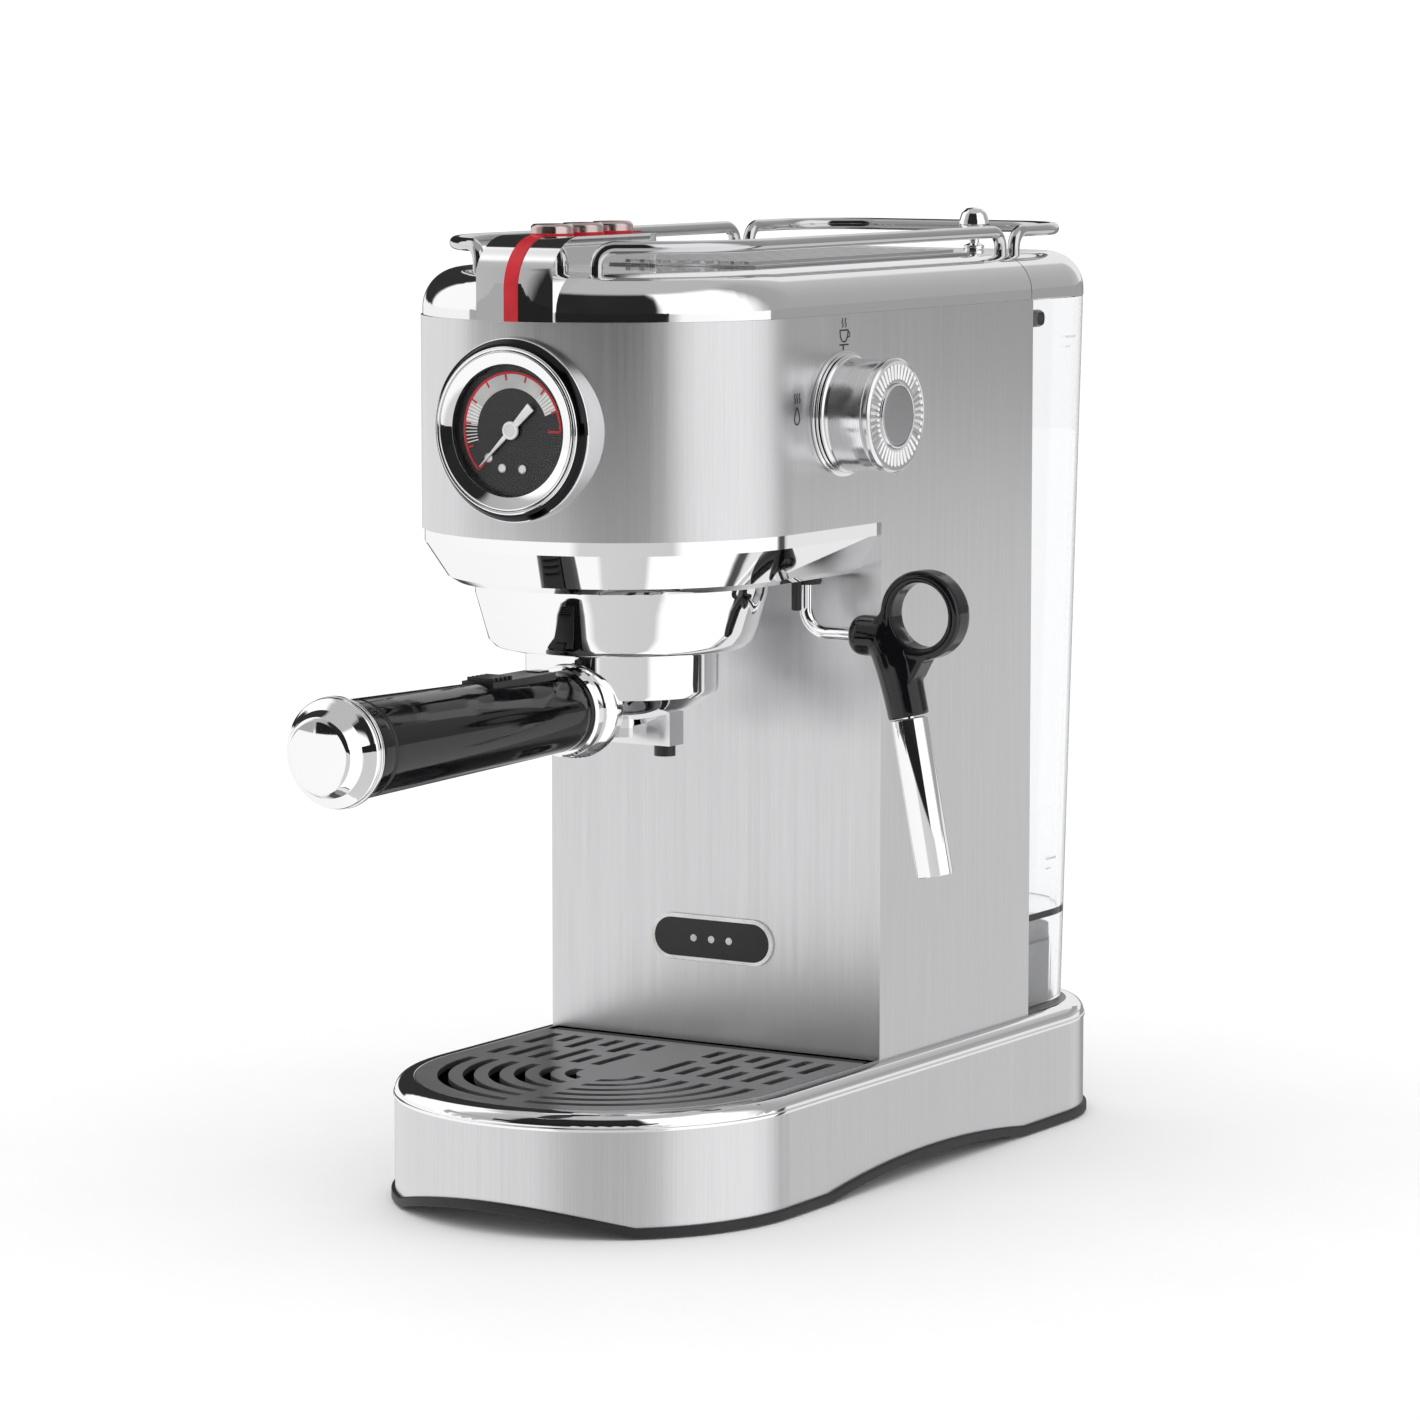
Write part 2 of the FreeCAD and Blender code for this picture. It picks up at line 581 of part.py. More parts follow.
grip = grip.fuse(lug).removeSplitter().cut(rod(1.3, clip_pin - right * 10, clip_pin + right * 10))
save("handle_grip", grip)
cap = turned([(rod_r, grip_end), (16.6, grip_end), (17.3, grip_end + 1.2), (17.3, grip_end + 4.4),
              (16.2, grip_end + 5.6), (13.6, grip_end + 8.6), (11.6, grip_end + 11.6), (8.0, grip_end + 13.2),
              (0, grip_end + 13.6), (0, grip_end + 4), (rod_r, grip_end + 4)], handle_axis, out)
save("handle_cap", cap)
save("handle_rod", rod(rod_r, handle_axis + out * 26, handle_axis + out * (grip_end + 4)))

spout_half = 21.0
spout_deep = 4.2
spout = box(-spout_half, spout_half, nose_y - spout_deep, nose_y + spout_deep, spout_bottom, 162.0)
spout = spout.cut(rod(35.0, V(0, nose_y - 20, 190.0), V(0, nose_y + 20, 190.0)))
spout = spout.fuse(rod(8.0, V(0, nose_y, 152.0), V(0, nose_y, 155.0))).removeSplitter()
tips = []
tip_x = 16.5
channel_r = 2.4
duct_low = 151.2
duct_top = 153.6
for side in (-1, 1):
    x = side * tip_x
    spout = spout.cut(rod(channel_r, V(x, nose_y, spout_bottom - 1), V(x, nose_y, duct_top)))
    tip = rod(3.5, V(x, nose_y, spout_bottom - 3.6), V(x, nose_y, spout_bottom))
    tips.append(tip.cut(rod(channel_r, V(x, nose_y, 140), V(x, nose_y, 160))))
spout = spout.cut(box(-tip_x, tip_x, nose_y - 2, nose_y + 2, duct_low, duct_top))
spout = spout.cut(rod(3.0, V(0, nose_y, duct_low), V(0, nose_y, 170)))
save("spout", spout.cut(bowl))
save("spout_tips", Part.makeCompound(tips))

# The thumb clip holds the basket in while the grounds are knocked out.
clip_low = clip_pin.z - 1.2
clip_high = clip_pin.z + 1.2
clip_arm = clip_pin.y - 3.6
clip = box(-clip_half, clip_half, clip_end, clip_arm, clip_low, clip_high)
for side in (-1, 1):
    x0, x1 = sorted((side * 3.0, side * clip_half))
    clip = clip.fuse(box(x0, x1, clip_arm - 0.1, clip_pin.y + 1.6, clip_low, clip_high))
clip = clip.fuse(rod(1.2, clip_pin - right * 5, clip_pin + right * 5)).removeSplitter()
for i in range(5):
    y = clip_end + 1.5 + 2.4 * i
    clip = clip.fuse(box(1 - clip_half, clip_half - 1, y, y + 1.1, clip_high, clip_high + 1.2))
save("basket_clip", clip.removeSplitter())

# ---- steam wand ---------------------------------------------------------------------
save("wand_nut", turned([(wand_r + 0.1, 200.6), (4.8, 200.6), (5.2, 201.2), (5.2, group_floor),
                         (wand_r + 0.1, group_floor)], V(wand_x, wand_y, 0), up))
save("drain_nozzle", turned([(0, 192.4), (drain_r - 0.3, 192.4), (drain_r, 192.9), (drain_r, 209.0), (0, 209.0)],
                            V(drain_x, drain_y, 0), up))
sleeve_lean = math.radians(11.0)
sleeve_top = V(84.6, wand_y, 158.8)
down = V(math.sin(sleeve_lean), 0, -math.cos(sleeve_lean))
sleeve_long = 52.5
elbow = sleeve_top - down * ((wand_z - sleeve_top.z) / math.cos(sleeve_lean))
wand_path = [V(wand_x, wand_y, 209.0), V(wand_x, wand_y, wand_z), V(elbow.x, wand_y, wand_z),
             sleeve_top + down * 44.0]
wand_pipe = swept(wand_path, [8.0, 9.0], wand_r)
save("wand_pipe", wand_pipe)

grip_in = V(64.2, wand_y, wand_z)
socket = turned([(0, 0), (5.2, 0), (6.4, 1.2), (6.6, 13.0), (0, 13.0)], grip_in, right)
stalk = Part.makeCone(7.2, 6.7, (sleeve_top - elbow).Length - 4, elbow + down * 4, down)
knee = Part.makeSphere(7.2, elbow + V(-2, 0, -2))
ring_out_r = 14.7
ring_hole_r = 10.9
ring_half = 4.6
eye = rod(ring_out_r, V(ring_x, wand_y - ring_half, ring_z), V(ring_x, wand_y + ring_half, ring_z))
web_corners = [(71.5, wand_z + 5.5), (76.5, ring_z + 3), (96.0, ring_z - 12), (elbow.x + 8.5, 173.5),
               (elbow.x - 2, 176.0)]
web_points = [V(x, wand_y - ring_half, z) for x, z in web_corners + web_corners[:1]]
web = Part.Face(Part.makePolygon(web_points)).extrude(V(0, 2 * ring_half, 0))
wand_grip = socket.fuse(stalk).fuse(knee).fuse(eye).fuse(web)
wand_grip = wand_grip.cut(rod(ring_hole_r, V(ring_x, wand_y - 20, ring_z), V(ring_x, wand_y + 20, ring_z)))
wand_grip = wand_grip.cut(wand_pipe).removeSplitter()
save("wand_grip", wand_grip)
sleeve = rod(6.1, sleeve_top + down * 0.3, sleeve_top + down * sleeve_long)
sleeve = sleeve.cut(rod(4.3, sleeve_top, sleeve_top + down * (sleeve_long + 2)))
sleeve = sleeve.fuse(rod(5.0, sleeve_top + down * 2, sleeve_top + down * 6)).cut(
    rod(wand_r + 0.08, sleeve_top, sleeve_top + down * 10))
save("frother_sleeve", sleeve.removeSplitter())

# ---- water tank ---------------------------------------------------------------------
tank_front = seam_y + 0.7


def tank_wire(half, rear_y, corner_r, front_y, z):
    """Tank outline: flat front against the body, round rear corners."""
    turn = corner_r * math.sqrt(0.5)
    cx = half - corner_r
    cy = rear_y - corner_r
    a = V(half, front_y, z)
    b = V(half, cy, z)
    c = V(cx, rear_y, z)
    d = V(-cx, rear_y, z)
    e = V(-half, cy, z)
    f = V(-half, front_y, z)
    return Part.Wire([
        Part.makeLine(a, b),
        Part.Arc(b, V(cx + turn, cy + turn, z), c).toShape(),
        Part.makeLine(c, d),
        Part.Arc(d, V(-cx - turn, cy + turn, z), e).toShape(),
        Part.makeLine(e, f),
        Part.makeLine(f, a),
    ])


def tank_solid(wall, z0, z1):
    """The tank narrows towards its foot."""
    wires = []
    for z in (z0, z1):
        share = (tank_top - z) / (tank_top - tank_bottom)
        half = head_half - 0.8 - 3.4 * share - wall
        rear = lid_rear_y - 0.8 - 6.5 * share - wall
        wires.append(tank_wire(half, rear, head_rear_r - 1 - wall, tank_front + wall, z))
    return Part.makeLoft(wires, True, True)


tank_wall = 2.2
tank_shell = tank_solid(0, tank_bottom, tank_top)
tank_shell = tank_shell.cut(tank_solid(tank_wall, tank_floor + 2.4, tank_top + 1))
tank_shell = tank_shell.cut(tank_solid(tank_wall, tank_bottom - 1, tank_floor))
valve_at = V(0, 108, 0)
tank_shell = tank_shell.cut(rod(5, valve_at + up * 60, valve_at + up * 80))
save("tank_shell", tank_shell)
tank_valve = turned([(0, 68.0), (5, 68.0), (5, 74.4), (8, 74.4), (8, 76.0), (2, 76.0), (2, 80.0), (0, 80.0)],
                    valve_at, up)
save("tank_valve", tank_valve)

dock_zone = box(-90, 90, seam_y, 200, 0, 60)
tank_dock = base_slab(rim_in, rim_top - 2, rim_top).common(dock_zone)
dock_half = 54.0
dock_rear_y = 134.0
dock_r = 14.0
dock_step = 1.5
dock_high = 26.4
dock_front_y = seam_y + 4.5
dock_low_part = Part.Face(tank_wire(dock_half, dock_rear_y, dock_r, dock_front_y, rim_top))
dock_high_part = Part.Face(tank_wire(dock_half - dock_step, dock_rear_y - dock_step, dock_r - dock_step,
                                     dock_front_y, rim_top))
tank_dock = tank_dock.fuse(dock_low_part.extrude(up * (dock_high - 5)))
tank_dock = tank_dock.fuse(dock_high_part.extrude(up * dock_high)).removeSplitter()
save("tank_dock", tank_dock)

lid_zone = box(-90, 90, seam_y + 0.4, 200, 0, 400)
tank_lid = lid_whole.common(lid_zone).cut(lid_hollow.common(box(-90, 90, seam_y + 3, 200, 0, 400)))
save("tank_lid", tank_lid)

lid_knob_at = V(22, 123, 0)
lid_knob = turned([(0, lid_top), (3.6, lid_top), (3.6, lid_top + 1.6), (1.8, lid_top + 2.4), (1.8, lid_top + 6.2),
                   (4.0, lid_top + 6.8), (5.3, lid_top + 8.6), (5.3, lid_top + 10.2), (4.4, lid_top + 13.0),
                   (2.6, lid_top + 14.6), (0, lid_top + 15.1)], lid_knob_at, up)
save("lid_knob", lid_knob)

rear_leg_y = 94.3
rear_rail_y = lid_rear_y - 10.0
rear_points = [
    V(rail_x, rear_leg_y, lid_skin),
    V(rail_x, rear_leg_y, rail_z),
    V(rail_x, rear_rail_y, rail_z),
    V(-rail_x, rear_rail_y, rail_z),
    V(-rail_x, rear_leg_y, rail_z),
    V(-rail_x, rear_leg_y, lid_skin),
]
corner_bend = head_rear_r - 10.0
rear_rail = swept(rear_points, [rail_bend, corner_bend, corner_bend, rail_bend], rail_r)
save("rear_rail", rear_rail.cut(lid_whole))

# ---- badge --------------------------------------------------------------------------
badge_z = 76.2
badge_half = 24.0
badge_r = 7.9
badge = box(-badge_half + badge_r, badge_half - badge_r, -17.3, column_front_y, badge_z - badge_r, badge_z + badge_r)
for side in (-1, 1):
    centre = V(side * (badge_half - badge_r), 0, badge_z)
    badge = badge.fuse(rod(badge_r, centre + V(0, -17.3, 0), centre + V(0, column_front_y, 0)))
save("badge_plate", badge.removeSplitter())

for name, shape in made:
    b = shape.BoundBox
    ok = shape.isValid() and all(s.Volume > 0 for s in shape.Solids)
    print(f"{name:16s} solids {len(shape.Solids)} volume {shape.Volume / 1000:9.2f} cm3 valid {ok}",
          f"x {b.XMin:.1f}..{b.XMax:.1f} y {b.YMin:.1f}..{b.YMax:.1f} z {b.ZMin:.1f}..{b.ZMax:.1f}")
print("nodes", len(made))
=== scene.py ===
"""Looks of the espresso machine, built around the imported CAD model, in the CAD frame.

Blender works in metres. The outlines and places of the pieces are written in mm and scaled by MM.
"""
import json
import math

import bmesh
import bpy
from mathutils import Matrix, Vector


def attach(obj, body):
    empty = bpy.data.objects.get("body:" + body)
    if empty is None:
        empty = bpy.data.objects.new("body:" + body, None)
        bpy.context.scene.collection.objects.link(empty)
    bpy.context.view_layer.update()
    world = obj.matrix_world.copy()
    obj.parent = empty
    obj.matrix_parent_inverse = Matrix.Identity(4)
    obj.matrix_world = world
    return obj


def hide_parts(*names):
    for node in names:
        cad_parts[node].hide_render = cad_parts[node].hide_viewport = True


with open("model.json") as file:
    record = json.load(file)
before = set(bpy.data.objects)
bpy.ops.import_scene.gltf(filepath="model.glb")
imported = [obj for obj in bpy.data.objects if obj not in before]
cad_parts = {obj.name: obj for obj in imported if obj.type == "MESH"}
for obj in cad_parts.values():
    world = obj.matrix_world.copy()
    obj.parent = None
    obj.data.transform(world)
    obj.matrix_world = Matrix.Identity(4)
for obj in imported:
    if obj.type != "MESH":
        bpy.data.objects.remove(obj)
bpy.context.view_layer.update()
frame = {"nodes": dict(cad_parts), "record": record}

nodes = frame["nodes"]
MM = 0.001
RIGHT = Vector((1, 0, 0))
FRONT = Vector((0, -1, 0))
BACK = Vector((0, 1, 0))
UP = Vector((0, 0, 1))
NOISE_LOW, NOISE_HIGH = 0.3, 0.7     # most of a noise's values fall between these
ON_AXIS = 1e-6                       # a point nearer than this is on the centre line


# ---- node helpers -------------------------------------------------------------------
class Shader:
    """A principled material whose detail is added node by node."""

    def __init__(self, name, colour, metallic, roughness, **sockets):
        self.mat = bpy.data.materials.new(name)
        self.mat.use_nodes = True
        self.tree = self.mat.node_tree
        self.bsdf = self.tree.nodes["Principled BSDF"]
        self.set("Base Color", (*colour, 1.0))
        self.set("Metallic", metallic)
        self.set("Roughness", roughness)
        for key, value in sockets.items():
            self.set(key.replace("_", " "), value)
        self.coords = self.add("ShaderNodeTexCoord").outputs["Object"]

    def set(self, socket, value):
        self.bsdf.inputs[socket].default_value = value

    def add(self, kind, **settings):
        node = self.tree.nodes.new(kind)
        for key, value in settings.items():
            setattr(node, key, value)
        return node

    def link(self, source, target):
        self.tree.links.new(source, target)

    def noise(self, scale, stretch=(1, 1, 1), detail=3.0, rough=0.5):
        """Noise with its own stretch along the model's axes; scale is per metre."""
        mapping = self.add("ShaderNodeMapping")
        mapping.inputs["Scale"].default_value = [scale * s for s in stretch]
        self.link(self.coords, mapping.inputs["Vector"])
        tex = self.add("ShaderNodeTexNoise")
        tex.inputs["Scale"].default_value = 1.0
        tex.inputs["Detail"].default_value = detail
        tex.inputs["Roughness"].default_value = rough
        self.link(mapping.outputs["Vector"], tex.inputs["Vector"])
        return tex.outputs["Fac"]

    def radius_from(self, centre, plane):
        """Distance in metres from a centre line, measured in the two axes of the plane."""
        shift = self.add("ShaderNodeVectorMath", operation="SUBTRACT")
        shift.inputs[1].default_value = centre
        self.link(self.coords, shift.inputs[0])
        flat = self.add("ShaderNodeVectorMath", operation="MULTIPLY")
        flat.inputs[1].default_value = plane
        self.link(shift.outputs[0], flat.inputs[0])
        length = self.add("ShaderNodeVectorMath", operation="LENGTH")
        self.link(flat.outputs[0], length.inputs[0])
        return length.outputs["Value"]

    def spread(self, value, low, high, start=NOISE_LOW, stop=NOISE_HIGH):
        """Maps start..stop onto low..high."""
        ranged = self.add("ShaderNodeMapRange")
        ranged.inputs["From Min"].default_value = start
        ranged.inputs["From Max"].default_value = stop
        ranged.inputs["To Min"].default_value = low
        ranged.inputs["To Max"].default_value = high
        self.link(value, ranged.inputs["Value"])
        return ranged.outputs["Result"]

    def colour_by(self, value, dark, light):
        ramp = self.add("ShaderNodeValToRGB")
        ramp.color_ramp.elements[0].color = (*dark, 1.0)
        ramp.color_ramp.elements[0].position = NOISE_LOW
        ramp.color_ramp.elements[1].color = (*light, 1.0)
        ramp.color_ramp.elements[1].position = NOISE_HIGH
        self.link(value, ramp.inputs["Fac"])
        self.link(ramp.outputs["Color"], self.bsdf.inputs["Base Color"])

    def roughness_by(self, value, low, high):
        self.link(self.spread(value, low, high), self.bsdf.inputs["Roughness"])

    def bump_by(self, value, depth, strength):
        bump = self.add("ShaderNodeBump")
        bump.inputs["Distance"].default_value = depth
        bump.inputs["Strength"].default_value = strength
        self.link(value, bump.inputs["Height"])
        self.link(bump.outputs["Normal"], self.bsdf.inputs["Normal"])


# ---- materials ----------------------------------------------------------------------
def shades(colour, dark, light):
    """A darker and a lighter shade of a colour."""
    return [c * dark for c in colour], [min(1.0, c * light) for c in colour]


def brushed(name, colour, roughness, stretch):
    """Brushed metal: fine scratches drawn out by stretch, with faint wide bands."""
    contrast = 0.06
    s = Shader(name, colour, 1.0, roughness)
    fine = s.noise(3600, stretch, 3.0, 0.65)
    broad = s.noise(420, stretch, 2.0)
    s.colour_by(fine, *shades(colour, 1 - contrast, 1 + contrast))
    s.roughness_by(broad, roughness - 0.02, roughness + 0.03)
    s.bump_by(fine, 0.000007, 0.5)
    return s.mat


def turned_metal(name, colour, roughness, centre, plane):
    """Spun metal: fine circular scratches about the centre line."""
    s = Shader(name, colour, 1.0, roughness)
    radius = s.radius_from(centre, plane)
    rings = s.add("ShaderNodeTexNoise", noise_dimensions="1D")
    rings.inputs["Scale"].default_value = 3200.0
    rings.inputs["Detail"].default_value = 3.0
    s.link(radius, rings.inputs["W"])
    s.colour_by(rings.outputs["Fac"], *shades(colour, 0.88, 1.08))
    s.roughness_by(s.noise(300, (1, 1, 1), 2.0), roughness - 0.04, roughness + 0.06)
    s.bump_by(rings.outputs["Fac"], 0.00001, 0.4)
    return s.mat


def chrome(name, colour=(0.95, 0.95, 0.955), roughness=0.03):
    """Plated metal: a mirror with a trace of handling in its gloss."""
    s = Shader(name, colour, 1.0, roughness)
    smears = s.noise(60, (1, 1, 2.2), 4.0, 0.6)
    s.roughness_by(smears, roughness * 0.6, roughness * 1.6)
    s.bump_by(s.noise(240, (1, 1, 1), 2.0), 0.000004, 0.3)
    return s.mat


def moulded(name, colour, roughness, grain=0.00004, scale=1700):
    """Moulded plastic, rubber or paint with a fine even texture."""
    s = Shader(name, colour, 0.0, roughness)
    grit = s.noise(scale, (1, 1, 1), 3.0, 0.6)
    patches = s.noise(90, (1, 1, 1), 3.0)
    s.colour_by(patches, *shades(colour, 0.82, 1.2))
    s.roughness_by(grit, roughness - 0.05, roughness + 0.07)
    s.bump_by(grit, grain, 0.6)
    return s.mat


def clear(name, tint, roughness, ior):
    """Clear plastic or glass with the slight unevenness of moulding."""
    s = Shader(name, tint, 0.0, roughness, Transmission_Weight=1.0, IOR=ior)
    s.roughness_by(s.noise(40, (1, 1, 0.3), 3.0), roughness, roughness + 0.02)
    s.bump_by(s.noise(25, (1, 1, 0.4), 1.0), 0.00001, 0.2)
    return s.mat


ALONG_Z = (1, 1, 0.006)
ALONG_Y = (1, 0.012, 1)
ALONG_X = (0.012, 1, 1)
EVEN = (1, 1, 1)
steel_up = brushed("steel_vertical_grain", (0.7, 0.7, 0.71), 0.3, ALONG_Z)
steel_flat = brushed("steel_lengthwise_grain", (0.6, 0.6, 0.61), 0.28, ALONG_Y)
mirror_chrome = chrome("mirror_chrome")
lid_chrome = chrome("lid_chrome", (0.9, 0.9, 0.905), 0.05)
soft_chrome = chrome("satin_chrome", (0.8, 0.8, 0.81), 0.14)
# smoked chrome; the same near-black is also painted shade in the groove of the knob's seat
dark_chrome = chrome("smoked_chrome_and_painted_shade", (0.03, 0.03, 0.032), 0.12)
rosy_chrome = chrome("pink_chrome", (0.62, 0.5, 0.49), 0.2)
zinc = brushed("zinc_plate", (0.6, 0.61, 0.62), 0.35, EVEN)
cast = moulded("rough_casting", (0.45, 0.45, 0.46), 0.5, 0.00006, 900)
brass = brushed("turned_brass", (0.72, 0.52, 0.24), 0.3, EVEN)
rubber = moulded("rubber_moulding", (0.013, 0.013, 0.014), 0.55)
plastic = moulded("black_moulding", (0.012, 0.012, 0.013), 0.35)
gloss = moulded("gloss_moulding", (0.004, 0.004, 0.005), 0.06, 0.000003, 300)
grate_steel = brushed("grate_steel", (0.6, 0.602, 0.61), 0.32, ALONG_X)
rail_chrome = chrome("rail_chrome", (0.62, 0.62, 0.63), 0.05)
grey = moulded("grey_moulding", (0.21, 0.21, 0.215), 0.4)
silicone = moulded("soft_silicone", (0.28, 0.28, 0.28), 0.5)
red = moulded("red_enamel", (0.5, 0.002, 0.012), 0.4, 0.000004, 500)
white = moulded("white_enamel", (0.8, 0.8, 0.78), 0.35, 0.000005)
ink = moulded("dark_ink", (0.02, 0.02, 0.022), 0.5, 0.000005)
pale_ink = moulded("pale_ink", (0.6, 0.6, 0.61), 0.5, 0.000005)
# the dial's own black; the same black is painted shade on the bezel's inner wall and in the sleeve's air
# hole
dial_black_and_painted_shade = moulded("dial_face", (0.004, 0.004, 0.005), 0.4, 0.000005)
dial_grey = moulded("dial_grey", (0.5, 0.5, 0.49), 0.45, 0.000005)
knob_face_grey = turned_metal("knob_face", (0.42, 0.42, 0.43), 0.4, (0.0, -0.0413, 0.2578), (0, 1, 1))
knob_side = turned_metal("knob_side", (0.86, 0.86, 0.87), 0.16, (0.0, 0.0, 0.0), (1, 0, 0))
tank_clear = clear("tank_plastic", (0.955, 0.96, 0.97), 0.01, 1.42)
gauge_clear = clear("gauge_glass", (1.0, 1.0, 1.0), 0.0, 1.12)

# the material of each of the record's slots
BY_SLOT = {
    "brushed_steel": steel_up,
    "chrome": mirror_chrome,
    "dark_chrome": dark_chrome,
    "black_rubber": rubber,
    "black_plastic": plastic,
    "gloss_black": gloss,
    "grey_plastic": grey,
    "clear_plastic": tank_clear,
    "glass": gauge_clear,
    "cast_alloy": cast,
    "brass": brass,
    "red_plastic": red,
    "white_dial": dial_black_and_painted_shade,
    "grey_silicone": silicone,
    "zinc_steel": zinc,
    "grate_grey": grate_steel,
    "rosy_chrome": rosy_chrome,
    "needle_white": white,
}
# the nodes that look different from the rest of their slot
BY_NODE = {
    "top_lid": lid_chrome,
    "tank_lid": lid_chrome,
    "cup_plate": steel_flat,
    "gauge_housing": soft_chrome,
    "cup_rails": rail_chrome,
    "rear_rail": rail_chrome,
    "spout": soft_chrome,
}


def paint(obj, material):
    """Gives the whole piece one material."""
    if not obj.material_slots:
        obj.data.materials.append(material)
    for material_slot in obj.material_slots:
        material_slot.material = material


for part in frame["record"]["subparts"]:
    name = part["node"]
    paint(nodes[name], BY_NODE.get(name, BY_SLOT[part["material_slot"]]))


# ---- edges of the CAD pieces --------------------------------------------------------
def soften(name, width):
    """Rounds the sharp edges of a CAD piece by width mm, so that they catch the light."""
    obj = nodes[name]
    weld = obj.modifiers.new("join_faces", "WELD")
    weld.merge_threshold = 0.000002
    bevel = obj.modifiers.new("soft_edges", "BEVEL")
    bevel.width = width * MM
    bevel.segments = 2
    bevel.limit_method = "ANGLE"
    bevel.angle_limit = math.radians(32)
    bevel.use_clamp_overlap = True
    normals = obj.modifiers.new("flat_faces", "WEIGHTED_NORMAL")
    normals.mode = "FACE_AREA_WITH_ANGLE"
    normals.keep_sharp = False
    for polygon in obj.data.polygons:
        polygon.use_smooth = True


for name, width in (
    ("base_rim", 0.35),
    ("console", 0.5),
    ("console_stripe", 0.1),
    ("top_lid", 0.3),
    ("tank_lid", 0.3),
    ("spout", 0.5),
    ("drip_grate", 0.3),
    ("drip_tray", 0.3),
    ("gauge_housing", 0.4),
    ("group_cover", 0.4),
    ("filter_bowl", 0.4),
    ("handle_grip", 0.35),
    ("basket_clip", 0.3),
    ("tank_dock", 0.8),
    ("skirt", 0.4),
    ("lid_knob", 0.4),
    ("cup_plate", 0.2),
):
    soften(name, width)


# ---- mesh helpers -------------------------------------------------------------------
def put(name, bm):
    """Makes a bmesh an object of the scene."""
    mesh = bpy.data.meshes.new(name)
    bm.to_mesh(mesh)
    bm.free()
    obj = bpy.data.objects.new(name, mesh)
    bpy.context.scene.collection.objects.link(obj)
    return obj


def piece(name, bm, material, body, sharp=35):
    """Turns a bmesh into a piece that rides on a body; edges over sharp degrees stay sharp."""
    bmesh.ops.recalc_face_normals(bm, faces=bm.faces)
    obj = put(name, bm)
    obj.data.shade_smooth()
    obj.data.set_sharp_from_angle(angle=math.radians(sharp))
    obj.data.materials.append(material)
    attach(obj, body)
    return obj


def skin(bm, rows):
    """Joins closed rows of vertices into a solid and returns its two end faces."""
    for first, second in zip(rows, rows[1:]):
        for i in range(len(first)):
            j = (i + 1) % len(first)
            bm.faces.new((first[i], first[j], second[j], second[i]))
    return [bm.faces.new(rows[0]), bm.faces.new(rows[-1])]


def rounded(outline, radius):
    """Closed outline in (radius, height) with its corners rounded, except those on the axis."""
    steps = 3
    most = 0.45                      # share of a side that a corner may take up
    points = []
    count = len(outline)
    for i, corner in enumerate(outline):
        corner = Vector(corner)
        if corner.x < ON_AXIS:
            points.append(corner)
            continue
        before = Vector(outline[i - 1]) - corner
        after = Vector(outline[(i + 1) % count]) - corner
        reach = min(radius, before.length * most, after.length * most)
        start = corner + before.normalized() * reach
        stop = corner + after.normalized() * reach
        for k in range(steps + 1):
            t = k / steps
            points.append(start * (1 - t) ** 2 + corner * 2 * t * (1 - t) + stop * t ** 2)
    return points


def across(axis):
    """Two directions square to an axis."""
    side = axis.orthogonal().normalized()
    return side, axis.cross(side).normalized()


def lathe_into(bm, outline, origin, axis, radius=0.25, segments=96, lift=None):
    """Adds a turned solid; lift(r, angle) may raise the surface along the axis, in mm."""
    axis = axis.normalized()
    side, other = across(axis)
    rings = []
    for p in rounded(outline, radius):
        if p.x < ON_AXIS:
            rings.append([bm.verts.new((origin + axis * p.y) * MM)])
            continue
        ring = []
        for k in range(segments):
            a = 2 * math.pi * k / segments
            rise = lift(p, a) if lift else 0.0
            spot = origin + axis * (p.y + rise) + (side * math.cos(a) + other * math.sin(a)) * p.x
            ring.append(bm.verts.new(spot * MM))
        rings.append(ring)
    for i, ring in enumerate(rings):
        following = rings[(i + 1) % len(rings)]
        if len(ring) == 1 and len(following) == 1:
            continue
        for k in range(segments):
            m = (k + 1) % segments
            corners = [ring[k % len(ring)], ring[m % len(ring)],
                       following[m % len(following)], following[k % len(following)]]
            bm.faces.new(list(dict.fromkeys(corners)))


def lathe(name, outline, origin, axis, material, body, radius=0.25, segments=96, lift=None):
    bm = bmesh.new()
    lathe_into(bm, outline, Vector(origin), Vector(axis), radius, segments, lift)
    return piece(name, bm, material, body)


def ribbon(bm, left, right, lift):
    """Adds a thin solid between two lines of points, as thick as lift."""
    rows = [[bm.verts.new(p * MM) for p in line] for line in (
        left, right, [p + lift for p in right], [p + lift for p in left])]
    for i in range(len(left) - 1):
        for a, b in ((0, 1), (1, 2), (2, 3), (3, 0)):
            bm.faces.new((rows[a][i], rows[a][i + 1], rows[b][i + 1], rows[b][i]))
    bm.faces.new([row[0] for row in rows])
    bm.faces.new([row[-1] for row in rows])


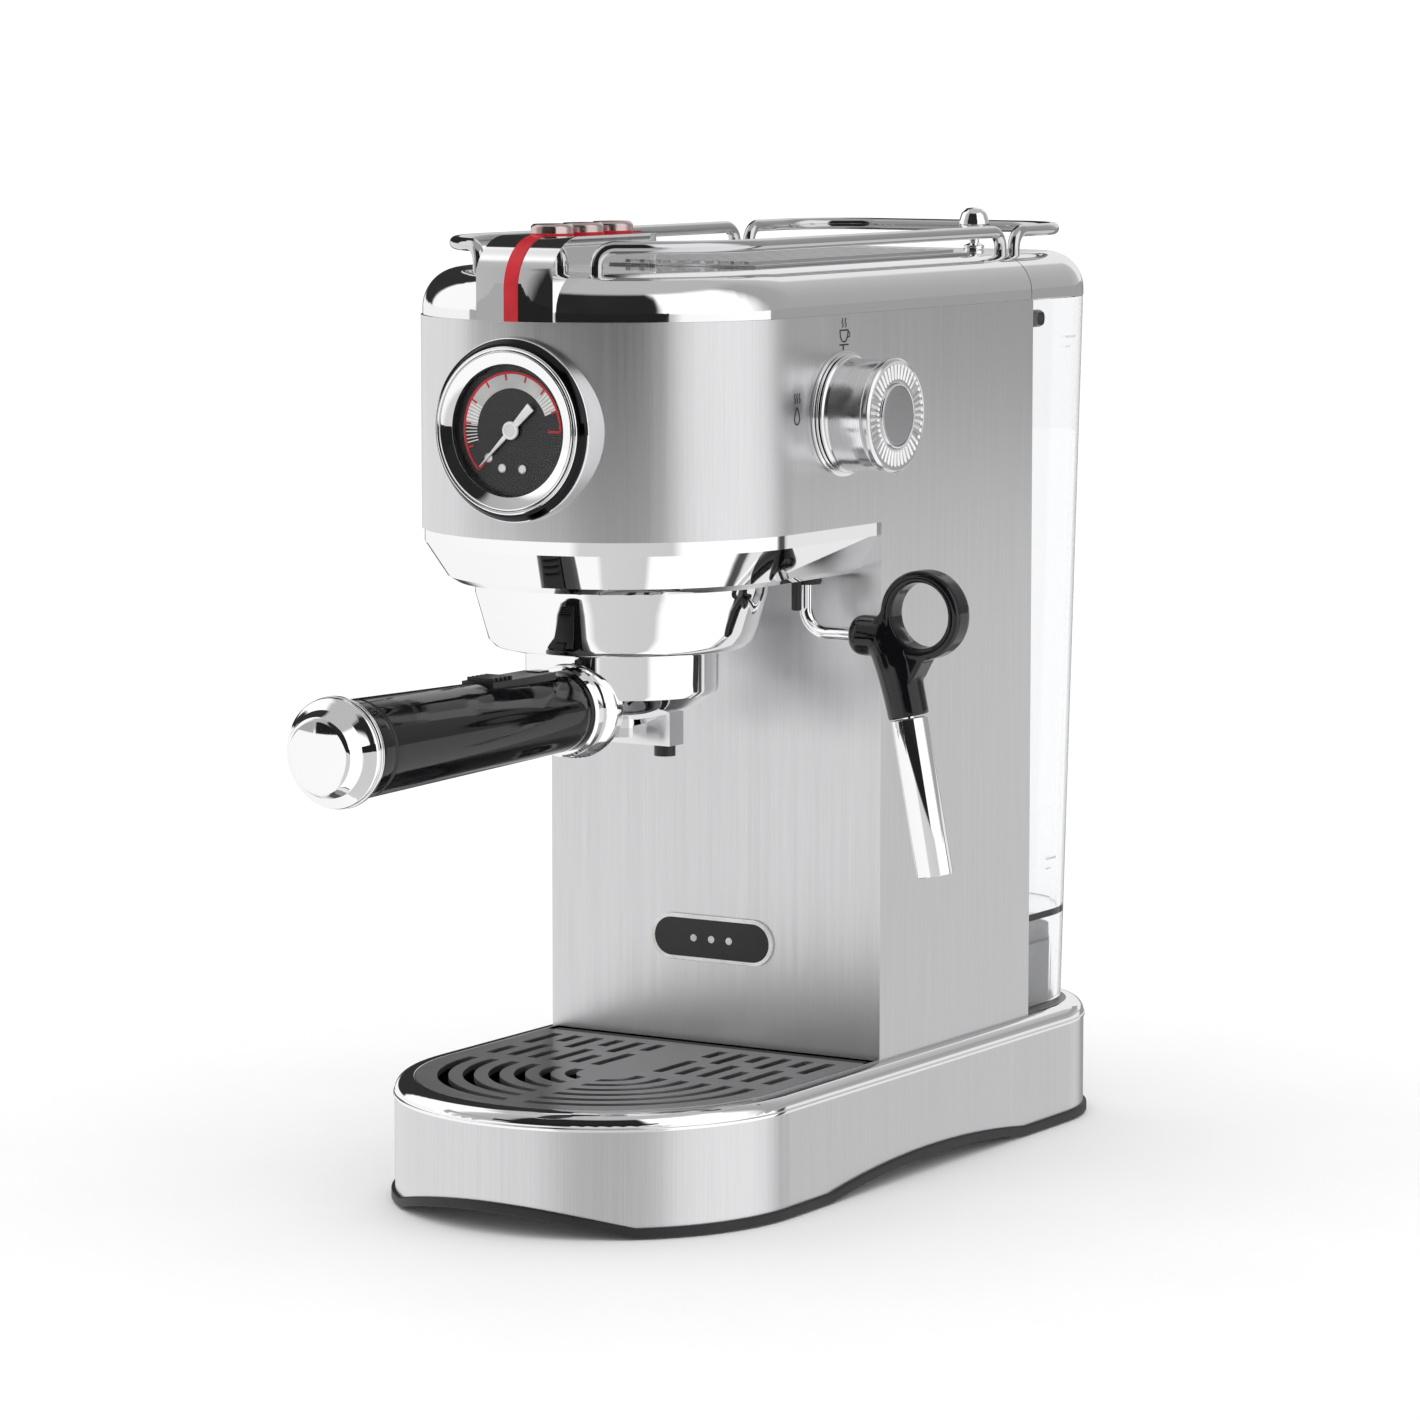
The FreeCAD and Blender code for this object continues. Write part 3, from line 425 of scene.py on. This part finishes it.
class Face:
    """A flat face on which marks are drawn, in mm right and up of its centre."""

    def __init__(self, origin, right, up, lift):
        self.origin = Vector(origin)
        self.right = Vector(right)
        self.up = Vector(up)
        self.lift = self.right.cross(self.up).normalized() * lift
        self.bm = bmesh.new()

    def at(self, x, y):
        return self.origin + self.right * x + self.up * y

    def polar(self, r, deg):
        """Point at a clock angle: 0 is up and angles run clockwise."""
        a = math.radians(deg)
        return self.at(r * math.sin(a), r * math.cos(a))

    def arc(self, r0, r1, start, stop):
        """Band between two radii, from one clock angle to another."""
        step = 3.0
        count = max(2, int(abs(stop - start) / step) + 1)
        angles = [start + (stop - start) * k / (count - 1) for k in range(count)]
        ribbon(self.bm, [self.polar(r0, a) for a in angles], [self.polar(r1, a) for a in angles], self.lift)

    def tick(self, r0, r1, deg, width):
        """Radial mark of an even width."""
        a = math.radians(deg)
        along = Vector((math.cos(a), -math.sin(a))) * width / 2
        ends = [(r * math.sin(a), r * math.cos(a)) for r in (r0, r1)]
        ribbon(self.bm, [self.at(x - along.x, y - along.y) for x, y in ends],
               [self.at(x + along.x, y + along.y) for x, y in ends], self.lift)

    def stroke(self, points, width):
        """Line of an even width through a few points."""
        left, right = [], []
        for i, p in enumerate(points):
            before = Vector(points[max(0, i - 1)])
            after = Vector(points[min(len(points) - 1, i + 1)])
            along = (after - before).normalized() * width / 2
            left.append(self.at(p[0] - along.y, p[1] + along.x))
            right.append(self.at(p[0] + along.y, p[1] - along.x))
        ribbon(self.bm, left, right, self.lift)

    def done(self, name, material, body):
        return piece(name, self.bm, material, body, 30)


# ---- pressure gauge -----------------------------------------------------------------
gauge_x = 1.5
gauge_z = 255.7
gauge = Vector((gauge_x, 0, gauge_z))
dial_y = -138.4
mark_high = 0.12
SWEEP_START = -135.0
SWEEP_END = 90.0


def dial_face(layer=0):
    """Face on which the dial's marks are drawn; layer 1 lies on top of layer 0."""
    return Face(gauge + Vector((0, dial_y, 0)) + FRONT * (mark_high * layer), RIGHT, UP, mark_high)


def make_gauge():
    seat = 138.6                     # where the bezel's rings start
    bezel = lathe("bezel_step", [(26.6, seat), (26.6, 141.2), (27.4, 141.2), (28.9, 139.6), (28.9, seat)],
                  gauge, FRONT, dark_chrome, "body", 0.15)
    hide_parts("gauge_bezel")
    lathe("bezel_outer_line", [(28.5, 138.5), (28.5, 139.9), (29.2, 139.3), (29.2, 138.5)],
          gauge, FRONT, mirror_chrome, "body", 0.2)
    lathe("bezel_inner_line", [(25.5, seat), (25.5, 142.4), (26.2, 142.6), (26.6, 142.2), (26.6, seat)],
          gauge, FRONT, mirror_chrome, "body", 0.2)
    lathe("bezel_ring", [(22.6, seat), (22.6, 140.6), (21.2, 141.1), (21.0, 141.5), (24.7, 142.9),
                         (25.2, 142.8), (25.3, seat)], gauge, FRONT, mirror_chrome, "body", 0.25)
    # inner wall of the bezel in the dial's black: painted shade inside the bezel
    lathe("bezel_shade", [(20.9, seat), (20.9, 140.5), (22.5, 140.5), (22.5, seat)],
          gauge, FRONT, dial_black_and_painted_shade, "body", 0.1)

    tick_step = 25.4                 # degrees
    band_in, band_out = 13.3, 17.9
    light_start, light_stop = SWEEP_START + 3 * tick_step, SWEEP_START + 7 * tick_step
    band = dial_face()
    band.arc(band_in, band_out, light_start, light_stop)
    band.done("dial_band", dial_grey, "body")
    pale = dial_face()
    pale.arc(band_in, band_out, SWEEP_START + 2 * tick_step, light_start)
    pale.arc(band_in, band_out, light_stop, SWEEP_START + 8 * tick_step)
    for k in range(6):
        pale.tick(13.5, 17.7, SWEEP_START + tick_step * (1.2 + 0.15 * k), 0.3)
    pale.done("dial_pale_bands", white, "body")
    hatch = dial_face(1)
    for first in (SWEEP_START + 2 * tick_step, light_stop):
        for k in range(6):
            hatch.tick(band_in, 17.7, first + tick_step * (0.08 + 0.16 * k), 0.45)
    hatch.done("dial_hatching", dial_grey, "body")
    arc = dial_face(1)
    arc.arc(17.8, 18.6, SWEEP_START, SWEEP_END)
    for end in (SWEEP_END, SWEEP_START):
        arc.tick(13.5, 18.3, end, 0.8)
    arc.done("dial_arc", red, "body")
    ticks = dial_face(1)
    for k in range(1, 9):
        ticks.tick(15.8, 17.75, SWEEP_START + tick_step * k, 0.6)
    ticks.done("dial_ticks", red, "body")
    screw_r = 12.8
    for k, deg in enumerate((225, 198, 163)):
        a = math.radians(deg)
        spot = gauge + Vector((screw_r * math.sin(a), 0, screw_r * math.cos(a)))
        lathe(f"dial_screw_{k + 1}", [(0, 138.4), (1.6, 138.4), (1.55, 138.8), (1.0, 139.15), (0, 139.2)],
              spot, FRONT, zinc, "body", 0.2, 32)


def make_needle():
    """Blade with a ridge along it, a broad tail and a domed hub, set along its own length."""
    tip, neck, tail = 16.6, 2.0, 10.8
    front, back, slope = 140.15, 139.3, 0.25
    edge = front - slope
    along = Vector((-math.sqrt(0.5), 0, -math.sqrt(0.5)))
    sideways = Vector((math.sqrt(0.5), 0, -math.sqrt(0.5)))
    stations = ((tip, 0.12), (neck, 0.75), (-1.0, 0.9), (-4.5, 1.15), (-tail, 1.5))
    bm = bmesh.new()
    rows = []
    for reach, half in stations:
        row = []
        for shift, depth in ((-half, back), (-half, edge), (0, front), (half, edge), (half, back)):
            row.append(bm.verts.new((gauge + along * reach + sideways * shift + FRONT * depth) * MM))
        rows.append(row)
    skin(bm, rows)
    needle = piece("needle_blade", bm, white, "gauge_needle", 20)
    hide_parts("needle")
    lathe("needle_hub", [(0, 139.2), (2.9, 139.2), (2.9, 140.1), (2.4, 140.3), (0, 140.3)],
          gauge, FRONT, white, "gauge_needle", 0.2, 40)
    lathe("needle_pin", [(0, 140.25), (2.0, 140.25), (2.0, 140.42), (1.4, 140.5), (0, 140.5)],
          gauge, FRONT, zinc, "gauge_needle", 0.1, 24)
    lathe("needle_spindle", [(0, 128.0), (0.8, 128.0), (0.8, 139.2), (0, 139.2)],
          gauge, FRONT, brass, "gauge_needle", 0.1, 24)


# ---- control knob -------------------------------------------------------------------
knob = Vector((0, -41.3, 257.8))
flutes = 44


def make_knob():
    flute_in, flute_out = 11.3, 17.0
    flute_deep, run_out = 0.45, 0.8
    rim_floor, rim_face = 84.0, 85.35

    def fluted(p, angle):
        """Depth of the rim's flutes, which run out at their two ends."""
        if p.y < rim_floor or not flute_in < p.x < flute_out:
            return 0.0
        fade = min(1.0, (p.x - flute_in) / run_out, (flute_out - p.x) / run_out)
        return -flute_deep * fade * (0.5 + 0.5 * math.cos(angle * flutes))

    face = [(flute_out + 0.2, rim_face)]
    rings = 8
    for k in range(rings + 1):
        face.append((flute_out - (flute_out - flute_in) * k / rings, rim_face))
    side = lathe("knob_side", [(3.0, 67.8), (19.2, 67.8), (19.2, 68.3), (18.3, 68.9), (18.0, 70.0),
                               (17.8, 81.8), (3.0, 81.8)],
                 knob, RIGHT, knob_side, "control_knob", 0.3, 128)
    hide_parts("knob_body")
    lathe("knob_rim", [(3.0, 81.9), (18.1, 81.9), (18.6, 82.6), (18.6, 84.7), (17.7, 85.5), *face,
                       (10.6, rim_face), (10.6, rim_floor), (3.0, rim_floor)],
          knob, RIGHT, soft_chrome, "control_knob", 0.2, flutes * 8, fluted)
    lathe("knob_ring", [(9.8, 84.1), (9.8, 86.1), (10.5, 86.1), (10.5, 84.1)], knob, RIGHT, mirror_chrome,
          "control_knob", 0.2, 96)
    lathe("knob_centre", [(0, 84.1), (9.7, 84.1), (9.7, 85.8), (9.3, 86.0), (0, 86.05)], knob, RIGHT,
          knob_face_grey, "control_knob", 0.15, 96)
    inner = 14
    for k, (outer, low, high) in enumerate(((20.4, 65.3, 66.2), (19.6, 66.5, 67.3))):
        ring = lathe(f"knob_seat_ring_{k + 1}", [(inner, low), (outer, low), (outer, high), (inner, high)],
                     knob, RIGHT, mirror_chrome, "body", 0.3, 128)
        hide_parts("knob_seat")
    # dark disc seen in the groove between the two seat rings: painted shade of the gap
    lathe("knob_seat_groove_painted_shade", [(7, 65.3), (18.8, 65.3), (18.8, 67.35), (7, 67.35)], knob, RIGHT, dark_chrome,
          "body", 0.1, 96)


def make_knob_marks():
    """Generic signs beside the knob: a steaming cup above it, a steaming drop in front of it."""
    panel_x = 65.21
    ink_high = 0.08
    panel = Vector((panel_x, knob.y, knob.z))
    cup = Face(panel + Vector((0, 0.5, 25.5)), BACK, UP, ink_high)
    cup.stroke([(-2.6, 1.4), (-2.3, -0.6), (-1.2, -2.0), (0, -2.3), (1.2, -2.0), (2.3, -0.6),
                (2.6, 1.4)], 0.5)
    cup.stroke([(-2.8, 1.5), (2.8, 1.5)], 0.5)
    cup.stroke([(2.5, 0.9), (3.6, 0.7), (3.6, -0.6), (2.1, -0.9)], 0.4)
    cup.stroke([(-2.8, -3.2), (2.8, -3.2)], 0.5)
    for x in (-1.0, 0.9):
        cup.stroke([(x, 2.4), (x + 0.5, 3.3), (x - 0.3, 4.2), (x + 0.3, 5.4)], 0.42)
    cup.done("cup_sign", ink, "body")
    drop = Face(panel + Vector((0, -29.0, 2.0)), BACK, UP, ink_high)
    drop.stroke([(0, 1.6), (-1.3, -0.8), (-1.7, -2.4), (-0.9, -3.7), (0, -4.0), (0.9, -3.7), (1.7, -2.4),
                 (1.3, -0.8), (0, 1.6)], 0.5)
    for x in (-1.4, 0, 1.4):
        drop.stroke([(x, 2.8), (x + 0.4, 3.8), (x - 0.3, 4.8), (x + 0.2, 6.0)], 0.42)
    drop.done("drop_sign", ink, "body")
    pointer = Face(panel + Vector((0, 0, 21.4)), BACK, UP, ink_high)
    pointer.stroke([(0, -0.8), (0, 0.8)], 0.7)
    pointer.done("pointer_mark", ink, "body")


# ---- badge --------------------------------------------------------------------------
def make_badge():
    """A blank pill with a light border; three dots stand in for any name."""
    half, r, z = 24.0, 7.9, 76.2
    straight = half - r
    edge = 0.18                      # width of the chamfer round the front
    steps = 16                       # of each round end

    def pill(shrink, y0, y1, name, material):
        """Pill from depth y0 in front to y1 behind, smaller all round by shrink."""
        reach = r - shrink
        rim = []
        for side in (1, -1):
            for k in range(steps + 1):
                a = math.radians(-90 + 180 * k / steps)
                along = straight + reach * math.cos(a)
                rim.append(Vector((side * along, 0, z + side * reach * math.sin(a))))
        inner = []
        for p in rim:
            along = abs(p.x) - edge * max(0.0, (abs(p.x) - straight) / reach)
            inner.append(Vector((along * (1 if p.x > 0 else -1), 0, z + (p.z - z) * (1 - edge / reach))))
        bm = bmesh.new()
        skin(bm, [[bm.verts.new((p + Vector((0, y, 0))) * MM) for p in line] for line, y in (
            (rim, y1), (rim, y0 + edge), (inner, y0))])
        return piece(name, bm, material, "body")

    border = pill(0.0, -17.2, -16.15, "badge_border", white)
    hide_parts("badge_plate")
    pill(1.3, -17.35, -17.1, "badge_face", plastic)
    dot_apart = 7.0
    for k in range(3):
        spot = Vector(((k - 1) * dot_apart, 0, z))
        lathe(f"badge_dot_{k + 1}", [(0, 17.2), (1.25, 17.2), (1.25, 17.5), (0, 17.55)],
              spot, FRONT, pale_ink, "body", 0.1, 32)


# ---- brew buttons -------------------------------------------------------------------
button_ys = (-115.6, -98.0, -80.5)


def make_buttons():
    names = ("button_one", "button_two", "button_three")
    for k, (name, y) in enumerate(zip(names, button_ys)):
        centre = Vector((gauge_x, y, 0))
        cap = lathe(f"{name}_cap", [(0, 308.6), (2, 308.6), (2, 312.2), (8, 312.2), (8, 313.7), (6.8, 313.9),
                                    (6.8, 319.2), (5.9, 320.1), (5.0, 319.95), (0, 319.8)],
                    centre, UP, rosy_chrome, f"button_{k + 1}", 0.4, 64)
        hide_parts(name)
        lathe(f"{name}_glow", [(6.5, 316.2), (6.95, 316.2), (6.95, 317.1), (6.5, 317.1)], centre, UP, red,
              f"button_{k + 1}", 0.1, 64)


# ---- handle -------------------------------------------------------------------------
handle = Vector((0, -72.6, 163.3))


def make_handle_cap():
    """Stepped chrome cap at the end of the grip, with a slightly domed face."""
    cap = lathe("cap_dome", [(4.0, 157.2), (16.2, 157.2), (16.2, 158.4), (17.3, 158.8), (17.3, 160.2),
                             (16.7, 160.5), (16.7, 160.9), (17.1, 161.2), (16.9, 162.2), (15.6, 163.4),
                             (13.6, 165.6), (12.4, 168.0), (11.7, 169.3), (10.6, 169.9), (6.0, 170.3),
                             (0, 170.35), (0, 161.0), (4.0, 161.0)],
                handle, FRONT, mirror_chrome, "filter_holder", 0.35, 128)
    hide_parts("handle_cap")


# ---- steam wand ---------------------------------------------------------------------
wand_y = -31.3
wand_z = 184.8
ring_x = 90.4
ring_z = 192.7
sleeve_top = Vector((84.6, wand_y, 158.8))
lean = math.radians(11.0)
down = Vector((math.sin(lean), 0, -math.cos(lean)))


def tube_into(bm, stations):
    """Adds a closed tube through (centre, radius) stations that share one y."""
    segments = 32
    rings = []
    for i, (centre, r) in enumerate(stations):
        before = stations[max(0, i - 1)][0]
        after = stations[min(len(stations) - 1, i + 1)][0]
        along = (after - before).normalized()
        other = along.cross(BACK).normalized()
        ring = []
        for k in range(segments):
            a = 2 * math.pi * k / segments
            ring.append(bm.verts.new((centre + (BACK * math.cos(a) + other * math.sin(a)) * r) * MM))
        rings.append(ring)
    skin(bm, rings)


def make_wand_grip():
    """Socket, thumb ring and stalk melted into one moulded grip."""
    bm = bmesh.new()
    lathe_into(bm, [(0, 0), (5.0, 0), (6.3, 1.3), (6.7, 3.0), (6.7, 13.0), (0, 13.0)],
               Vector((64.2, wand_y, wand_z)), RIGHT, 0.8, 48)
    lathe_into(bm, [(10.7, -4.0), (11.4, -4.7), (14.0, -4.7), (14.65, -3.6), (14.65, 3.6), (14.0, 4.7),
                    (11.4, 4.7), (10.7, 4.0)], Vector((ring_x, wand_y, ring_z)), FRONT, 0.5, 96)
    bend = [(74.5, 184.4, 6.6), (76.6, 182.8, 7.0), (78.6, 179.8, 7.3), (80.3, 175.6, 7.3),
            (81.6, 171.0, 7.1), (82.9, 166.0, 6.9), (84.6, 158.9, 6.75)]
    tube_into(bm, [(Vector((x, wand_y, z)), r) for x, z, r in bend])
    web = [(73.0, 189.5), (77.0, 194.5), (82.0, 183.8), (90.0, 180.0), (97.0, 181.5), (91.5, 177.5),
           (88.5, 172.0), (84.0, 168.0), (78.0, 176.0), (73.0, 181.0)]
    web_half = 4.6
    rows = [[bm.verts.new(Vector((x, wand_y + shift, z)) * MM) for x, z in web]
            for shift in (-web_half, web_half)]
    bmesh.ops.triangulate(bm, faces=skin(bm, rows))
    grip = piece("wand_grip_moulding", bm, gloss, "steam_wand", 180)
    melt = grip.modifiers.new("melt", "REMESH")
    melt.mode = "VOXEL"
    melt.voxel_size = 0.00055
    melt.use_smooth_shade = True
    relax = grip.modifiers.new("relax", "SMOOTH")
    relax.factor = 0.5
    relax.iterations = 7
    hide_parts("wand_grip")


def make_sleeve():
    """Frothing sleeve: a thin chrome tube with a rounded lip and a shoulder inside, and a small black plug
    in its wall that stands in for the air hole as painted shade.
    """
    long = 52.5
    outline = [(2.4, 2.0), (4.8, 2.0), (4.8, 0.4), (6.1, 0.4), (6.1, long), (4.4, long), (4.4, 6.0),
               (2.4, 6.0)]
    sleeve = lathe("frother_tube", outline, sleeve_top, down, mirror_chrome, "sleeve", 0.35, 96)
    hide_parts("frother_sleeve")
    hole_r = 0.55
    spot = sleeve_top + down * 4.2 + Vector((hole_r, 0, 0))
    # the air hole is not cut: a small black plug through the wall is painted shade
    lathe("air_hole_painted_shade", [(0, 5.6), (hole_r, 5.6), (hole_r, 6.14), (0, 6.14)],
          spot, FRONT, dial_black_and_painted_shade, "sleeve", 0.05, 24)


# ---- water tank ---------------------------------------------------------------------
def make_tank_details():
    """Level ticks on the tank, each a long line with a short one below, and the peg at its top."""
    long, short, apart = 7.0, 3.0, 3.4
    ticks = (("level_marks_high", 64.32, 113.0, 276.0), ("level_marks_low", 61.75, 106.0, 93.0))
    for name, x, y, z in ticks:
        face = Face((x, y, z), BACK, UP, 0.1)
        face.stroke([(0, 0), (long, 0)], 0.7)
        face.stroke([(0, -apart), (short, -apart)], 0.5)
        face.done(name, pale_ink, "tank")
    peg = Vector((60.0, 95.0, 283.0))
    lathe("tank_peg", [(0, -1.0), (2.6, -1.0), (3.0, 0), (3.0, 3.4), (2.4, 4.0), (0, 4.0)],
          peg, BACK, plastic, "tank", 0.4, 40)
    lathe("tank_peg_pin", [(0, 3.9), (1.2, 3.9), (1.2, 6.4), (0, 6.6)],
          peg, BACK, soft_chrome, "tank", 0.2, 24)


make_gauge()
make_needle()
make_knob()
make_knob_marks()
make_badge()
make_buttons()
make_handle_cap()
make_wand_grip()
make_sleeve()
make_tank_details()


# ---- stage --------------------------------------------------------------------------
def make_floor():
    """A pale round floor that fades out into the studio."""
    floor_r = 2.0
    fade_start, fade_stop = 0.55, 1.0
    bm = bmesh.new()
    bmesh.ops.create_circle(bm, cap_ends=True, radius=floor_r, segments=96)
    floor = put("studio_floor", bm)
    s = Shader("pale_floor", (0.95, 0.95, 0.95), 0.0, 0.7)
    s.set("Specular IOR Level", 0.1)
    s.colour_by(s.noise(14, (1, 1, 1), 3.0), (0.94, 0.94, 0.94), (0.96, 0.96, 0.96))
    radius = s.radius_from((0, 0, 0), (1, 1, 0))
    s.link(s.spread(radius, 1.0, 0.0, fade_start, fade_stop), s.bsdf.inputs["Alpha"])
    floor.data.materials.append(s.mat)
    floor.visible_glossy = False


def make_card(name, start, stop, brightness):
    """An upright card round part of the horizon, seen only in reflections. Degrees from the front."""
    reach, low, high = 900.0, 182.0, 340.0
    steps = 32
    bm = bmesh.new()
    rows = []
    for k in range(steps + 1):
        a = math.radians(start + (stop - start) * k / steps)
        x, y = reach * math.sin(a), -reach * math.cos(a)
        rows.append([bm.verts.new(Vector((x, y, z)) * MM) for z in (low, high)])
    for first, second in zip(rows, rows[1:]):
        bm.faces.new((first[0], second[0], second[1], first[1]))
    card = put(name, bm)
    card.visible_camera = False
    card.visible_diffuse = False
    card.visible_transmission = False
    card.visible_shadow = False
    s = Shader(name, (0.0, 0.0, 0.0), 0.0, 1.0, Emission_Strength=brightness)
    s.set("Emission Color", (1.0, 1.0, 1.0, 1.0))
    s.set("Specular IOR Level", 0.0)
    card.data.materials.append(s.mat)


def strip_ramp(tree, turn, stops):
    """Grey ramp round the horizon from (degrees, grey) stops."""
    ramp = tree.nodes.new("ShaderNodeValToRGB")
    elements = ramp.color_ramp.elements
    for end, position in zip(elements, (0.0, 1.0)):
        end.position = position
        end.color = (stops[0][1],) * 3 + (1.0,)
    for degrees, level in stops:
        elements.new(degrees / 360.0 + 0.5).color = (level,) * 3 + (1.0,)
    tree.links.new(turn, ramp.inputs["Fac"])
    return ramp.outputs["Color"]


# (degrees from the front, grey): what mirrors see above the horizon, and what they see near it and below
HIGH_STRIPS = [(-179, 0.85), (-150, 0.85), (-147, 0.03), (-110, 0.03), (-107, 1.05), (-62, 1.05),
               (-54, 0.5), (-26, 0.42), (-20, 0.02), (53, 0.02), (57, 1.2), (112, 1.2), (128, 0.38),
               (150, 0.4), (176, 0.55)]
LOW_STRIPS = [(-178, 0.3), (-152, 0.3), (-149, 0.08), (-138, 0.08), (-134, 0.95), (-30, 1.0), (2, 1.0),
              (8, 0.66), (62, 0.62), (68, 1.05), (126, 1.15), (135, 1.05), (137, 0.08), (142, 0.08),
              (144, 0.8), (174, 0.85)]
HIGH_FROM = (0.02, 0.045)            # height of a direction at which the high strips take over
CEILING_FROM = (0.8, 0.87)           # and at which the ceiling does
WHITE = 1.08
CEILING = 0.5


def make_world():
    """Studio: plain white for the eye and for matt pieces, light and dark strips for mirrors."""
    world = bpy.data.worlds.new("studio")
    bpy.context.scene.world = world
    world.use_nodes = True
    tree = world.node_tree

    def node(kind, **settings):
        made = tree.nodes.new(kind)
        for key, value in settings.items():
            setattr(made, key, value)
        return made

    def blend(share, first, second):
        mix = node("ShaderNodeMix", data_type="RGBA")
        tree.links.new(share, mix.inputs["Factor"])
        tree.links.new(first, mix.inputs["A"])
        tree.links.new(second, mix.inputs["B"])
        return mix.outputs["Result"]

    def step(value, low, high):
        """Maps low..high onto 0..1."""
        ranged = node("ShaderNodeMapRange")
        ranged.inputs["From Min"].default_value = low
        ranged.inputs["From Max"].default_value = high
        tree.links.new(value, ranged.inputs["Value"])
        return ranged.outputs["Result"]

    direction = node("ShaderNodeTexCoord").outputs["Generated"]
    parts = node("ShaderNodeSeparateXYZ")
    tree.links.new(direction, parts.inputs["Vector"])
    back = node("ShaderNodeMath", operation="MULTIPLY")
    back.inputs[1].default_value = -1.0
    tree.links.new(parts.outputs["Y"], back.inputs[0])
    angle = node("ShaderNodeMath", operation="ARCTAN2")
    tree.links.new(parts.outputs["X"], angle.inputs[0])
    tree.links.new(back.outputs[0], angle.inputs[1])
    turn = step(angle.outputs[0], -math.pi, math.pi)
    white = node("ShaderNodeRGB")
    white.outputs[0].default_value = (WHITE, WHITE, WHITE, 1.0)
    ceiling = node("ShaderNodeRGB")
    ceiling.outputs[0].default_value = (CEILING, CEILING, CEILING, 1.0)
    sides = blend(step(parts.outputs["Z"], *HIGH_FROM), strip_ramp(tree, turn, LOW_STRIPS),
                  strip_ramp(tree, turn, HIGH_STRIPS))
    dome = blend(step(parts.outputs["Z"], *CEILING_FROM), sides, ceiling.outputs[0])
    path = node("ShaderNodeLightPath")
    mirrored = node("ShaderNodeMath", operation="SUBTRACT", use_clamp=True)
    tree.links.new(path.outputs["Is Glossy Ray"], mirrored.inputs[0])
    tree.links.new(path.outputs["Is Transmission Ray"], mirrored.inputs[1])
    seen = blend(mirrored.outputs[0], white.outputs[0], dome)
    tree.links.new(seen, tree.nodes["Background"].inputs["Color"])


def area_light(name, place, aim, size, watts):
    """A soft lamp that lights matt surfaces only, so that no chrome piece mirrors it."""
    data = bpy.data.lights.new(name, "AREA")
    data.shape = "RECTANGLE"
    data.size, data.size_y = size
    data.energy = watts
    lamp = bpy.data.objects.new(name, data)
    bpy.context.scene.collection.objects.link(lamp)
    lamp.visible_glossy = False
    lamp.location = place
    lamp.rotation_euler = (Vector(aim) - Vector(place)).to_track_quat("-Z", "Y").to_euler()


def make_camera():
    """The photograph's viewing angle."""
    sensor_mm, lens_mm = 36.0, 137.74
    data = bpy.data.cameras.new("camera")
    data.sensor_width = sensor_mm
    data.lens = lens_mm
    camera = bpy.data.objects.new("camera", data)
    bpy.context.scene.collection.objects.link(camera)
    place = Vector((0.9578, -1.5596, 0.3723))
    aim = Vector((0.0, -0.0181, 0.1545))
    camera.location = place
    camera.rotation_euler = (aim - place).to_track_quat("-Z", "Y").to_euler()
    bpy.context.scene.camera = camera


make_floor()
make_card("grey_card", -58, -28, 0.4)
make_card("dark_card", -27, 55, 0.015)
make_card("side_card", 122, 180, 0.36)
make_world()
make_camera()
area_light("overhead", (0.0, -0.1, 1.9), (0, 0, 0), (2.2, 2.2), 4)
bpy.context.scene.view_settings.view_transform = "Standard"
